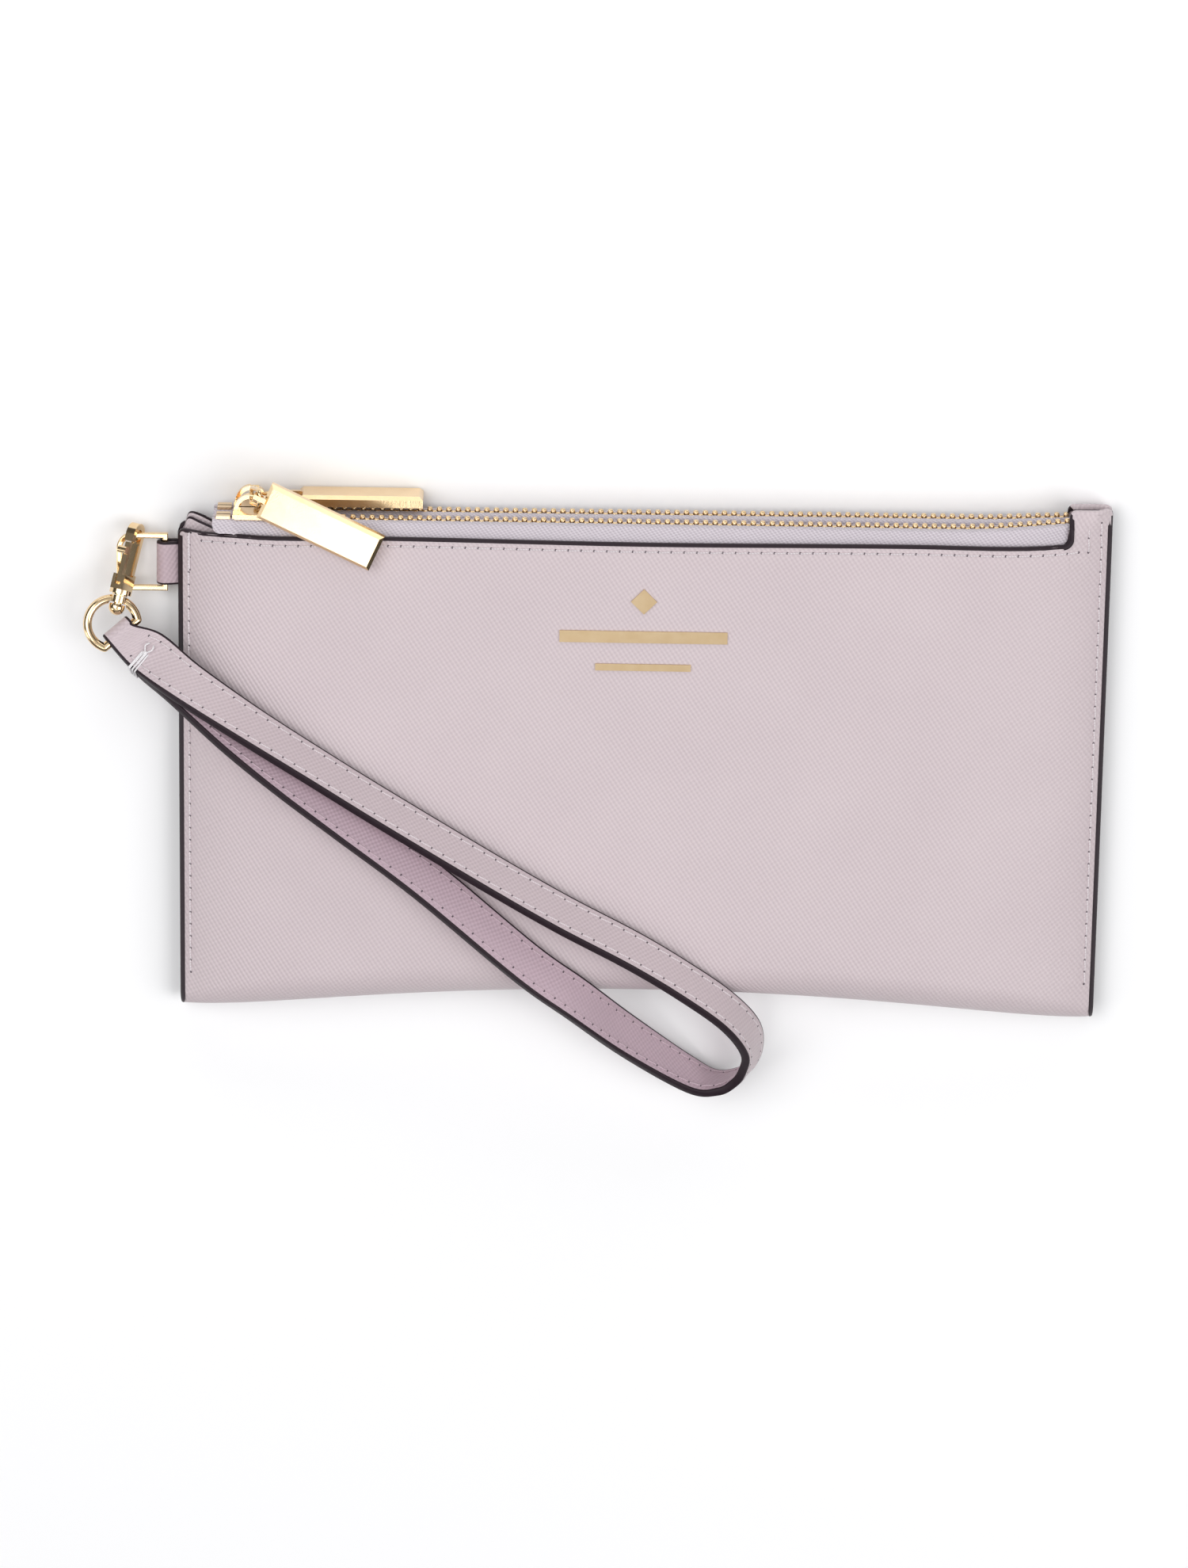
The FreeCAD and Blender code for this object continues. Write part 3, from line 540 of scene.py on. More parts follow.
def seam_dip(x, y):
    """How far the stitching draws the front leather down."""
    side = abs(x) - (half_at(y) - SIDE_SEAM)
    top = y - (PANEL_TOP + edge_rise(x) - TOP_SEAM)
    dip = SIDE_DIP * math.exp(-((side / SEAM_SPREAD) ** 2))
    if x < TAB_START + 3:
        dip = max(dip, TOP_DIP * math.exp(-((top / SEAM_SPREAD) ** 2)))
    return dip


def tab_close(x, y):
    """How far the tabs' top ends have closed towards each other, 0 to 1."""
    if x < TAB_START - 0.01:
        return 0.0
    rise = max(0.0, (y - TAB_LEAN) / (TAB_TOP - TAB_LEAN))
    return rise**TAB_LEAN_POWER


def front_face(x, y):
    """Depth of the front panel's outer face, its tab leaning back at the top."""
    return front_depth(x) - max(0.0, front_depth(x) - FRONT_TAB_DEPTH) * tab_close(x, y)


def back_face(x, y):
    """Depth of the back panel's outer face, its tab leaning forward at the top."""
    return BACK_TAB_RISE * tab_close(x, y)


def wrap_point(x, share):
    """A point of the wrap's outer face, its normal and its height with the wrap laid flat.
    share runs 0 to 1 down the front, to 2 round the fold and to 3 up the back."""
    top = top_at(x)
    fold, radius = fold_at(x)
    slope = 0.0
    if abs(x) < HALF - 0.01:
        slope = (front_depth(x + 0.01) - front_depth(x - 0.01)) / 0.02
    if share <= 1:
        y = flat = top + (fold - top) * share
        point = Vector((x, y, front_face(x, y) - seam_dip(x, y)))
        lean = (front_face(x, y - 0.1) - front_face(x, y)) / 0.1
        normal = Vector((-slope, lean, 1))
    elif share <= 2:
        turn = math.pi * (share - 1)
        point = Vector((x, fold - radius * math.sin(turn), radius + radius * math.cos(turn)))
        normal = Vector((-slope * (1 + math.cos(turn)) / 2, -math.sin(turn), math.cos(turn)))
        flat = fold - math.pi * radius * (share - 1)
    else:
        y = fold + (top - fold) * (share - 2)
        point = Vector((x, y, back_face(x, y)))
        normal = Vector((0, (back_face(x, y) - back_face(x, y - 0.1)) / 0.1, -1))
        flat = fold - math.pi * radius - (top - fold) * (share - 2)
    point.x = x * half_at(point.y) / HALF
    return point, normal.normalized(), flat


def front_place(x, y):
    """A point and normal on the front panel's outer face at a height."""
    top = top_at(x)
    fold, _ = fold_at(x)
    return wrap_point(x, (top - y) / (top - fold))[:2]


def wrap_shares():
    """Places down the wrap for wrap_point, close together along the notch and the seam."""
    front = [0, 0.006, 0.011, 0.0155, 0.02, 0.025, 0.032, 0.045, 0.055, 0.065, 0.075, 0.085, 0.1]
    front += [k / 20 for k in range(3, 21)]
    back = [k / 14 for k in range(1, 14)] + [0.952, 0.968, 0.977, 0.986, 0.993, 1]
    return front + [1 + k / 14 for k in range(1, 15)] + [2 + step for step in back]


def outer_wrap():
    """One leather panel: front, half-round fold and back, with its inner face."""
    columns, shares = wrap_columns(), wrap_shares()
    build = Build()
    outer = [[wrap_point(x, share) for x in columns] for share in shares]
    outside = [[point for point, _, _ in row] for row in outer]
    inside = [[point - normal * LEATHER for point, normal, _ in row] for row in outer]
    marks = [[(x, flat) for x, (_, _, flat) in zip(columns, row)] for row in outer]

    def inner_number(r, c):
        """Smooth leather, but the tab is lilac on both faces."""
        return 0 if columns[c] > TAB_START and outside[r][c].y > PANEL_TOP else 1

    build.ply(outside, inside, marks, inner_number, 2)
    looks = [LILAC, SMOOTH, PAINT]
    piece = build.finish("leather_wrap", looks, ["outer_wrap"])


def bead(build, path, lip=0.5, bulge=0.22):
    """Painted edge of one leather ply, its lip lapping the outer face. path holds (outer face
    point, ply direction, outward direction)."""
    rows, marks, length = [], [], 0.0
    profile = (
        (-lip, 0.02), (-lip * 0.8, -0.11), (-0.12, -0.12), (bulge * 0.6, 0.08), (bulge, 0.45),
        (bulge, LEATHER - 0.45), (bulge * 0.6, LEATHER - 0.14), (-0.12, LEATHER + 0.04),
        (-lip, LEATHER + 0.02),
    )
    last = path[0][0]
    for point, through_ply, outward in path:
        length += (point - last).length
        last = point
        rows.append([point + outward * out + through_ply * deep for out, deep in profile])
        marks.append([(length, deep) for _, deep in profile])
    build.grid(rows, marks)


# Just left of the notch's round corner beside the tab.
NOTCH_START = TAB_START - CORNER - 0.1


def top_outline():
    """Points along the panels' top edge with their outward direction, seen from the front."""
    corners = [
        (-HALF + CORNER, PANEL_TOP - CORNER, 180, 90, 1),
        (TAB_START - CORNER, PANEL_TOP + CORNER, -90, 0, -1),
        (TAB_START + CORNER, TAB_TOP - CORNER, 180, 90, 1),
        (HALF - CORNER, TAB_TOP - CORNER, 90, 0, 1),
    ]
    made = []
    for x, y, start, end, way in corners:
        for step in range(9):
            turn = math.radians(start + (end - start) * step / 8)
            out = Vector((math.cos(turn), math.sin(turn), 0))
            made.append((Vector((x, y, 0)) + out * CORNER, out * way))
    filled = []
    for (a, na), (b, nb) in zip(made, made[1:]):
        spacing = 0.7 if a.x > NOTCH_START else 4
        pieces = max(1, int((b - a).length / spacing))
        for k in range(pieces):
            filled.append((a.lerp(b, k / pieces), na.lerp(nb, k / pieces).normalized()))
    filled.append(made[-1])
    for point, _ in filled:
        if point.x < TAB_START + 0.01:
            straight = max(0.0, point.y - PANEL_TOP - CORNER) / (TAB_TOP - PANEL_TOP - 2 * CORNER)
            point.y += edge_rise(point.x) * max(0.0, 1 - straight)
    return filled


def top_edges():
    """Painted top edges of the front and back panels."""
    build = Build()
    outline = top_outline()
    front = [(Vector((p.x, p.y, front_face(p.x, p.y))), -OUT_Z, away) for p, away in outline]
    back = [(Vector((p.x, p.y, back_face(p.x, p.y) + 0.06)), OUT_Z, away) for p, away in outline]
    turned = next(i for i, (p, _) in enumerate(outline) if p.y > TAB_TOP - 0.5)
    notch = next(i for i, (p, _) in enumerate(outline) if p.x > NOTCH_START)
    bead(build, front[:notch + 1])
    bead(build, front[notch:turned + 1], 0.8)
    bead(build, back[:turned + 1])
    build.finish("top_edge_paint", [PAINT])
    turned_top = Build()
    bead(turned_top, front[turned:], 0.7, 0.3)
    bead(turned_top, back[turned:], 0.7, 0.3)
    turned_top.finish("tab_top_edges", [LILAC])


# Depths of the lines between the plies in a side seam's edge.
PLY_LINES = (4.6, 3.75, 2.5, 1.4)


def side_edge(sign):
    """The side seam's cut edge: all the plies painted together, their lines still showing."""
    top = (TAB_TOP if sign > 0 else PANEL_TOP + edge_rise(-HALF)) - CORNER
    fold, radius = fold_at(HALF)
    middle = EDGE_DEPTH / 2
    heights = [top - (top - fold) * k / 40 for k in range(41)]
    heights += [fold - radius * math.sin(math.pi / 2 * k / 8) for k in range(1, 9)]
    profile = [
        (-0.75, front_depth(HALF - 0.75) + 0.05), (-0.4, front_depth(HALF - 0.4) + 0.07),
        (0.05, 5.95),
    ]
    for step in range(29):
        depth = 5.7 - 5.4 * step / 28
        groove = sum(math.exp(-(((depth - line) / 0.13) ** 2)) for line in PLY_LINES)
        profile.append((0.30 * (1 - ((depth - 3) / 3.2) ** 4) + 0.1 - 0.22 * groove, depth))
    profile += [(0.05, 0.06), (-0.4, 0.02)]
    rows, marks = [], []
    for y in heights:
        shrink = math.sqrt(max(0.0, 1 - ((fold - y) / radius) ** 2)) if y < fold else 1.0
        edge = half_at(y)
        lift = back_face(HALF, y) if sign > 0 else 0.0
        rows.append([
            Vector((sign * (edge + out * max(shrink, 0.3)), y,
                    middle + (deep - middle) * shrink + lift * (1 - deep / EDGE_DEPTH)))
            for out, deep in profile
        ])
        marks.append([(y, deep) for _, deep in profile])
    build = Build()
    build.grid(rows, marks)
    side = "right" if sign > 0 else "left"
    build.finish(f"{side}_edge_paint", [PAINT])


# ---------- stitching


# A stitch's ends sink into the leather, its shoulders stand this far from them, and it slants.
SINK, SHOULDER, SLANT = 0.2, 0.28, 0.07


def sew(build, path, pitch=STITCH, radius=0.17, lift=0.16, hole=0.27):
    """A row of stitches along (point, normal) pairs, with a low dark disc between each two as the
    painted shade of a needle hole.
    """
    places = spaced(path, pitch)
    for (a, na), (b, nb) in zip(places, places[1:]):
        run = (b - a).normalized()
        normal = (na + nb).normalized()
        slant = run.cross(normal) * SLANT
        build.tube([
            a - na * SINK + slant, a + run * SHOULDER + na * lift * 0.6 + slant,
            (a + b) / 2 + normal * lift,
            b - run * SHOULDER + nb * lift * 0.6 - slant, b - nb * SINK - slant,
        ], radius)
    # Each needle hole is a low dark disc: painted shade of the hole.
    for point, normal in places:
        side = perpendicular(normal)
        outs = spokes(side, normal.cross(side), 8)
        rings = [
            [point + normal * up + out * hole * wide for out in outs]
            for wide, up in ((1.15, 0.01), (0.9, 0.05), (0.0, 0.04))
        ]
        build.grid(rings, [[(p.x, p.y) for p in ring] for ring in rings], 1)


def side_seam(sign, back=False):
    """Seam line down one side, on the front or on the back."""
    top = TAB_TOP - 2.5 if sign > 0 else PANEL_TOP - 1.6
    path = []
    for k in range(61):
        y = top + (wrap_low.y + 6.5 - top) * k / 60
        inset = SIDE_SEAM + (1.0 if sign > 0 and y > PANEL_TOP else 0.0) * (TAB_TOP - y) / 30
        if back:
            x = sign * (half_at(y) - inset)
            path.append((Vector((x, y, back_face(x, y) + 0.03)), -OUT_Z))
        else:
            path.append(front_place(sign * (HALF - inset), y))
    return path


def seams():
    """Every row of stitches in the wallet's own leather."""
    build = Build()
    for sign in (-1, 1):
        sew(build, side_seam(sign))
    top = PANEL_TOP - TOP_SEAM
    end = TAB_START + 4.0
    sew(build, [front_place(x, top + edge_rise(x)) for x in range(-95, int(end) + 1, 2)])
    sew(build, [front_place(end, y) for y in (top, top + 3, TAB_TOP - 1.0)], 3.2)
    pile = [front_place(-HALF + SIDE_SEAM + 0.25, y) for y in (PANEL_TOP - 0.9, PANEL_TOP - 9.5)]
    sew(build, pile, STITCH, 0.2, 0.3)
    build.finish("seam_stitches", [THREAD, HOLE_SHADE])
    rear = Build()
    for sign in (-1, 1):
        sew(rear, side_seam(sign, True), lift=0.0, radius=0.03)
    level = [(Vector((x, top, 0.03)), -OUT_Z) for x in (-95, end)]
    sew(rear, level, lift=0.0, radius=0.03)
    rear.finish("rear_stitches", [THREAD, HOLE_SHADE])


outer_wrap()
top_edges()
side_edge(-1)
side_edge(1)
seams()


# ---------- zips

CHAIN_HEIGHT = 53.8
CHAIN_START, CHAIN_END = -82.4, 90.4
# Each zip's depth, and how far it sinks from the first of these places to the second.
CHAIN_TURN, CHAIN_SUNK = 74.0, 95.0
CHAIN = {"front": (10.9, 3.6), "back": (4.0, 1.0)}
TAPE_EDGE = 0.7
TAPE_THICK = 0.5
TOOTH_PITCH = 2.04
CORD_OUT, CORD_RADIUS = 1.05, 0.34
# A tape bends and ends at these heights. Its open end is free of the seam and rounded off.
BEND_LEVEL, HEM_LEVEL = 50.9, 49.0
FREE_START, FREE_RUN = -86.0, 2.4
END_ROUND = 1.6
BOARD_FACE = 0.34
FACING = 0.8
PLY_GAP = 0.1
CHAIN_WAVER = {"front": ((66, 0), (91, 1.0)), "back": ((-40, 0), (50, 0.2), (70, 0.25), (91, 0.8))}


def chain_place(zip_name, x):
    """Height and depth of a zip's centre line, which rises a little and sinks beside the tab."""
    depth, drop = CHAIN[zip_name]
    past = max(0.0, (x - CHAIN_TURN) / (CHAIN_SUNK - CHAIN_TURN))
    return CHAIN_HEIGHT + eased(x, CHAIN_WAVER[zip_name]), depth - drop * past**2


def tape_foot(zip_name, side, x):
    """Depth of a tape's sewn edge: against a panel, or against the divider."""
    half = TAPE_THICK / 2
    if zip_name == "front" and side > 0:
        return front_depth(x) - LEATHER - PLY_GAP - half
    if zip_name == "back" and side < 0:
        return LEATHER + PLY_GAP + half
    way = 1 if zip_name == "front" else -1
    return divider_level(x) + way * (BOARD_FACE + FACING + PLY_GAP + half)


def tape_line(zip_name, side, x, start):
    """The middle of a tape in one cross-section: along the teeth, over a soft bend and down."""
    level, chain = chain_place(zip_name, x)
    foot = tape_foot(zip_name, side, x)
    spare = 0.0 if x > 86 else 0.4
    least = 2.4 if x < CHAIN_START else 1.15
    shoulder = chain + side * min(2.9, max(least, abs(foot - chain) + spare))
    free = max(0.0, min(1.0, (FREE_START - x) / FREE_RUN))
    bend, hem = BEND_LEVEL + 1.5 * free, HEM_LEVEL + 2.0 * free
    foot += (shoulder - foot) * free
    past = max(0.0, (start + END_ROUND - x) / END_ROUND)
    hem += END_ROUND * (1 - math.sqrt(max(0.0, 1 - past**2)))
    soft = 0.55 * side
    knots = [
        (level, chain + side * TAPE_EDGE), (level, shoulder - soft),
        (level - 0.5, shoulder - soft * 0.1), (bend + 0.4, foot + (shoulder - foot) * 0.2),
        (min(bend, hem + 1.5), foot), (hem, foot),
    ]
    return through(knots, 4)


TAPE_STEPS = (0, 0.15, 0.4, 0.8, 1.2, 1.7, 2.4, 3.4, 4.4, 5.5, 7, 9, 11.5, 14)


def tape(zip_name, side, side_name):
    """One woven tape with the rolled cord that the teeth are set on."""
    node = f"{zip_name}_tape_{side_name}"
    low, high = box_mm(node)
    places = [low.x + step for step in TAPE_STEPS]
    while places[-1] + 4 < high.x:
        places.append(places[-1] + 4)
    places.append(high.x)
    rows, marks = [], []
    for x in places:
        line = tape_line(zip_name, side, x, low.x)
        ripple = 0.05 * math.sin(x * 0.9 + side) + 0.04 * math.sin(x * 0.37)
        normals = []
        for i in range(len(line)):
            a, b = around(line, i)
            run = Vector((b[0] - a[0], b[1] - a[1])).normalized()
            normals.append(Vector((-run.y, run.x)) * (TAPE_THICK / 2))
        faces = [
            [Vector((x, y - n.x * way, z - n.y * way + ripple * min(1.0, i / 8)))
             for i, ((y, z), n) in enumerate(zip(line, normals))]
            for way in (1, -1)
        ]
        row, mark_row = closed_ring([*faces[0], *reversed(faces[1])], x)
        rows.append(row)
        marks.append(mark_row)
    build = Build()
    build.grid(rows, marks)
    for end in (0, -1):
        half = len(rows[end]) // 2
        build.grid([rows[end][:half], rows[end][-2:half - 1:-1]], [marks[end][:half]] * 2)
    cord = []
    for x in places:
        level, depth = chain_place(zip_name, x)
        cord.append(Vector((x, level, depth + side * CORD_OUT)))
    build.tube(cord, CORD_RADIUS, 8)
    build.finish(node.replace("tape", "woven_tape"), [TAPE], [node], sharp=60)


def teeth(zip_name, side, side_name):
    """A row of small rounded metal teeth clamped on the tape's cord."""
    build = Build()
    shift = 0.0 if side > 0 else TOOTH_PITCH / 2
    count = int((CHAIN_END - CHAIN_START - shift) / TOOTH_PITCH) + 1
    for step in range(count):
        x = CHAIN_START + shift + step * TOOTH_PITCH + 0.45
        level, depth = chain_place(zip_name, x)
        level += 0.12 - 0.22 * side
        body = Vector((x, level, depth + side * 0.66))
        head = Vector((x, level, depth - side * 0.02))
        build.pebble(body, (0.60, 0.66, 0.52), 0.6)
        build.pebble(head, (0.36, 0.50, 0.46), 0.8, across=8, up=4)
    node = f"{zip_name}_teeth_{side_name}"
    build.finish(node.replace("teeth", "cast_teeth"), [TOOTH_GOLD], [node])


for zip_name in CHAIN:
    for side in (1, -1):
        side_name = "outer" if (zip_name == "front") == (side > 0) else "inner"
        tape(zip_name, side, side_name)
        teeth(zip_name, side, side_name)


# ---------- sheets inside


HEM, HEM_RISE = 3.0, 0.05


def inner_sheet(node, name, thick, level, material, slot, rests_on=None):
    """A thin sheet that follows the wallet's depth, its top edge turned over into a hem.
    level gives the depth of its back face."""
    low, high = box_mm(node)
    across = [low.x + (high.x - low.x) * k / 60 for k in range(61)]
    down = [high.y, high.y - 0.2, high.y - HEM + 0.4, high.y - HEM]
    down += [high.y - HEM - (high.y - HEM - low.y) * k / 12 for k in range(1, 13)]
    fronts, backs, marks = [], [], []
    for i, y in enumerate(down):
        hem = HEM_RISE if 0 < i < 3 else 0.0
        fronts.append([Vector((x, y, level(x) + thick + hem * 0.5)) for x in across])
        backs.append([Vector((x, y, level(x) - hem * 0.5)) for x in across])
        marks.append([(x, y) for x in across])
    build = Build()
    build.ply(fronts, backs, marks)
    piece = build.finish(name, [material], [node])


LINING_THICK, POCKET_THICK, BOARD_THICK = 0.3, 0.4, 0.6
CARD, CARD_GAP = 0.25, 0.05
CLOTH = LINING, "lining_cloth", "leather_wrap"
HIDE = SMOOTH, "inner_leather"
inner_sheet("front_lining", "front_lining_cloth", LINING_THICK,
            lambda x: front_depth(x) - LEATHER - PLY_GAP - LINING_THICK, *CLOTH)
inner_sheet("back_lining", "back_lining_cloth", LINING_THICK, lambda x: LEATHER + PLY_GAP, *CLOTH)
inner_sheet("slip_pocket", "slip_pocket_cloth", POCKET_THICK,
            lambda x: LEATHER + 2 * PLY_GAP + LINING_THICK, *CLOTH)
inner_sheet("divider_board", "divider_core", BOARD_THICK,
            lambda x: divider_level(x) - BOARD_THICK / 2, BOARD, "stiffener_board")
inner_sheet("divider_front_facing", "divider_leather_front", FACING,
            lambda x: divider_level(x) + BOARD_FACE, *HIDE, "divider_core")
inner_sheet("divider_back_facing", "divider_leather_back", FACING,
            lambda x: divider_level(x) - BOARD_FACE - FACING, *HIDE, "divider_core")
for side_name in ("left", "right"):
    for tier in range(3):
        lift = BOARD_FACE + FACING + CARD_GAP + tier * (CARD + CARD_GAP)
        place = f"{side_name}_{tier + 1}"
        inner_sheet(f"card_slot_{place}", f"card_pocket_{place}", CARD,
                    lambda x, lift=lift: divider_level(x) + lift, *HIDE, "divider_leather_front")


# ---------- flat leather strips


EDGE_ROUND, PAINT_LAP = 0.42, 0.12
EDGE_TURNS = [math.radians(22.5 * (step + 0.5) - 90) for step in (0, 1, 2, 4, 5, 6, 7)]


def strip_section(wide, thick):
    """Cross-section of a strip: (across, through, material) round it. Material 0 is the first
    face, 1 the second and 2 the edge paint."""
    half, deep = wide / 2, thick / 2
    corner = min(EDGE_ROUND, deep * 0.9)
    flat = half - corner - PAINT_LAP
    made = []
    for way, face in ((1, 0), (-1, 1)):
        made.append((way * flat, -way * deep, 2))
        for turn in EDGE_TURNS:
            out = half - corner + corner * math.cos(turn)
            over = math.copysign(deep - corner, turn) + corner * math.sin(turn)
            made.append((way * out, way * over, 2))
        made.append((way * flat, way * deep, face))
        made += [(way * flat * share, way * deep, face) for share in (0.6, 0.2, -0.2, -0.6)]
    return made


def strip(build, frames, edge_number=2):
    """A leather strip through (centre, across, through, wide, thick) places."""
    rows, marks, length = [], [], 0.0
    last = frames[0][0]
    for centre, across, deep, wide, thick in frames:
        length += (centre - last).length
        last = centre
        section = strip_section(wide, thick)
        row, mark_row = closed_ring([centre + across * a + deep * b for a, b, _ in section], length)
        rows.append(row)
        marks.append(mark_row)
    kinds = [kind for *_, kind in section]
    build.grid(rows, marks, lambda r, c: edge_number if kinds[c] == 2 else kinds[c])
    for end in (0, -1):
        ring = rows[end][:-1]
        middle = sum(ring, Vector()) / len(ring)
        build.grid([rows[end], [middle] * len(rows[end])], [marks[end]] * 2, edge_number)


# The strap's route: x, y, z and the lean from upright in degrees to the right of travel.
JOINED_LEG = [(-106.4, 23.7, 12.0, 62), (-98.0, 18.7, 17.4, 46), (-84.8, 11.0, 21.6, 36)]
UPPER_LEG = [
    (-69.7, 1.7, 22.8, 32), (-55.2, -7.4, 22.9, 32), (-32.2, -21.4, 22.9, 32),
    (-16.7, -30.4, 22.9, 32), (-1.2, -38.6, 22.9, 32), (9.8, -45.4, 22.5, 31),
]
TIP = [(19.3, -53.1, 19.6, 28), (24.6, -60.9, 14.5, 23), (25.0, -67.4, 10.2, 18),
       (23.0, -72.2, 7.6, 10), (18.0, -74.4, 6.6, -6), (11.5, -72.2, 7.2, -24)]
LOWER_LEG = [(-1.9, -61.8, 12.6, -36), (-13.4, -50.6, 20.4, -43), (-24.5, -41.9, 22.2, -45),
             (-46, -23.6, 22.0, -45), (-63.5, -10.3, 22.0, -43), (-75.8, -1.3, 21.4, -39),
             (-87.4, 7.4, 19.4, -35), (-99.2, 17.6, 15.4, -44)]
STRAP_WIDE, STRAP_THICK = 10.0, 1.9
FOLD_WIDE, FOLD_THICK, FOLD_GAP = 6.8, 1.2, 0.15
PLY_SPREAD = 2.3
STRAP_SEAM = 1.75
EYE_RADIUS, EYE_WIRE, EYE_BAR = 5.4, 0.95, 2.8
EYE_BOSS = 14.3
HOOK_ORIGIN = Vector((-109.6, 47.4, 3.4))
HOOK_AXIS = Vector((-0.23, -0.92, 0.326)).normalized()
FOLD_AXIS = Vector((0.75, 0.60, -0.28)).normalized()
FOLD_OUT = FOLD_AXIS.cross(HOOK_AXIS.cross(FOLD_AXIS).normalized()).normalized()
FOLD_MIDDLE = HOOK_ORIGIN + HOOK_AXIS * (EYE_BOSS + EYE_RADIUS) + FOLD_OUT * EYE_BAR


def lean_frame(point, run, lean):
    """The strap's place at a knot: centre, its width direction and its face direction."""
    run = run.normalized()
    angle = math.radians(lean)
    beside = Vector((run.y, -run.x, 0)).normalized()
    edge = Vector((0, 0, math.cos(angle))) + beside * math.sin(angle)
    edge = (edge - run * edge.dot(run)).normalized()
    return point, edge, run.cross(edge).normalized()


def strap_knots():
    """Places all the way round the loop: (centre, across, through, wide, thick)."""
    leg = [*JOINED_LEG, *UPPER_LEG, *TIP, *LOWER_LEG]
    points = [Vector(place[:3]) for place in leg]
    frames = []
    for i, place in enumerate(leg):
        before, after = around(points, i)
        before = before if i else FOLD_MIDDLE
        frames.append(lean_frame(points[i], after - before, place[3]))
    point, edge, face = frames[0]
    frames.append((point + face * PLY_SPREAD, edge, -face))
    over = -frames[0][2]
    fold_face = (over - FOLD_AXIS * over.dot(FOLD_AXIS)).normalized()
    away = fold_face.cross(FOLD_AXIS).normalized()
    if away.dot(frames[0][0] - FOLD_MIDDLE) < 0:
        away = -away
    radius = EYE_WIRE + FOLD_GAP + FOLD_THICK / 2

    def fold(turn):
        angle = math.radians(turn)
        out = fold_face * math.sin(angle) + away * math.cos(angle)
        return FOLD_MIDDLE + out * radius, -FOLD_AXIS, -out, FOLD_WIDE, FOLD_THICK

    start = [fold(turn) for turn in (182, 150, 120, 90, 62)]
    end = [fold(turn) for turn in (-62, -90, -120, -150, -176)]
    middle = [(*place, STRAP_WIDE, STRAP_THICK) for place in frames]
    return start, middle, end


def smooth_frames(knots, steps):
    """The same places run through smoothly, their directions kept square."""
    flat = [(*centre, *across, *deep, wide, thick) for centre, across, deep, wide, thick in knots]
    made = []
    for values in through(flat, steps):
        across = Vector(values[3:6]).normalized()
        deep = Vector(values[6:9])
        deep = (deep - across * deep.dot(across)).normalized()
        made.append((Vector(values[:3]), across, deep, values[9], values[10]))
    return made


def wrist_strap():
    """The strap's two laminated plies, painted edges and four rows of stitches."""
    start, middle, end = strap_knots()
    steps = 8
    frames = smooth_frames([*start, *middle, *end], steps)
    build = Build()
    strip(build, frames)
    # The inner face's leather is darkened and tinted mauve: painted shade and painted reflected
    # light.
    looks = [SHADED_STRAP_IN, STRAP_OUT, PAINT]
    build.finish("strap_leather", looks, ["wrist_strap"], "strap")
    sewn = frames[len(start) * steps - 2:4 - len(end) * steps]
    # The inner face's stitches take the thread darkened as painted shade.
    for way, name, colour in (
        (-1, "strap_stitches", THREAD), (1, "strap_inner_stitches", SHADED_THREAD),
    ):
        stitches = Build()
        for row in (-1, 1):
            sew(stitches, [
                (mid + across * row * (wide / 2 - STRAP_SEAM) + face * way * thick / 2, face * way)
                for mid, across, face, wide, thick in sewn
            ], 2.9, 0.14, 0.08, 0.24)
        stitches.finish(name, [colour, HOLE_SHADE], body="strap")


def bar_tack():
    """Whitish thread wound over the near edges of both plies, its ends tied and cut."""
    _, middle, _ = strap_knots()
    point, edge, face, _, _ = middle[0]
    centre = point + face * (PLY_SPREAD / 2)
    run = edge.cross(face).normalized()
    wide, deep = STRAP_WIDE / 2 + 0.25, (STRAP_THICK + PLY_SPREAD) / 2 + 0.22
    build = Build()
    half_turn = [
        (0.6, -deep + 0.5), (0.9, -deep), (wide * 0.55, -deep), (wide - 0.35, -deep),
        (wide, -deep + 0.4),
    ]
    knots = [*half_turn, (wide, 0.0), *((out, -over) for out, over in reversed(half_turn))]
    for turn in range(5):
        shift = run * (turn - 2) * 0.36
        skew = run * random.uniform(-0.35, 0.35)
        path = [
            centre + edge * out + face * over + shift + skew * (out / wide) for out, over in knots
        ]
        build.tube([Vector(p) for p in through(path, 4)], 0.19)
    top = centre - face * deep + edge * 0.7
    for way in (-1, 1):
        ends = [top, top - face * 0.6 - edge * 1.3 + run * 0.9 * way,
                top - face * 0.3 - edge * 2.4 + run * 0.5 * way]
        build.tube([Vector(p) for p in through(ends, 5)], 0.17)
    build.pebble(top - face * 0.15, (0.55, 0.45, 0.4), 0.9)
    build.finish("strap_tack_thread", [TACK_THREAD], ["strap_bar_tack"], "strap")


TAB_BAR, TAB_LEVEL, TAB_THICK = -103.1, 3.4, 0.9


def side_tab():
    """The leather strip folded round the ring's bar and sewn into the left seam."""
    low, high = box_mm("side_tab")
    outer = 0.95 + TAB_THICK / 2
    wide, middle = high.y - low.y, (low.y + high.y) / 2
    line = [(-99.3, TAB_LEVEL - 0.5 + 0.95), (-100.8, TAB_LEVEL - 0.2 + 1.15)]
    for k in range(13):
        turn = math.pi * k / 12
        line.append((TAB_BAR - outer * math.sin(turn), TAB_LEVEL + outer * math.cos(turn)))
    line += [(-100.8, TAB_LEVEL - 0.2 - 1.25), (-99.3, TAB_LEVEL - 0.5 - 0.95)]
    frames = []
    for i, (x, z) in enumerate(line):
        a, b = around(line, i)
        run = Vector((b[0] - a[0], 0, b[1] - a[1])).normalized()
        frames.append((Vector((x, middle, z)), UP_Y, run.cross(UP_Y), wide, TAB_THICK))
    build = Build()
    strip(build, smooth_frames(frames, 3))
    build.finish("side_tab_leather", [TAB, TAB, PAINT], ["side_tab"])


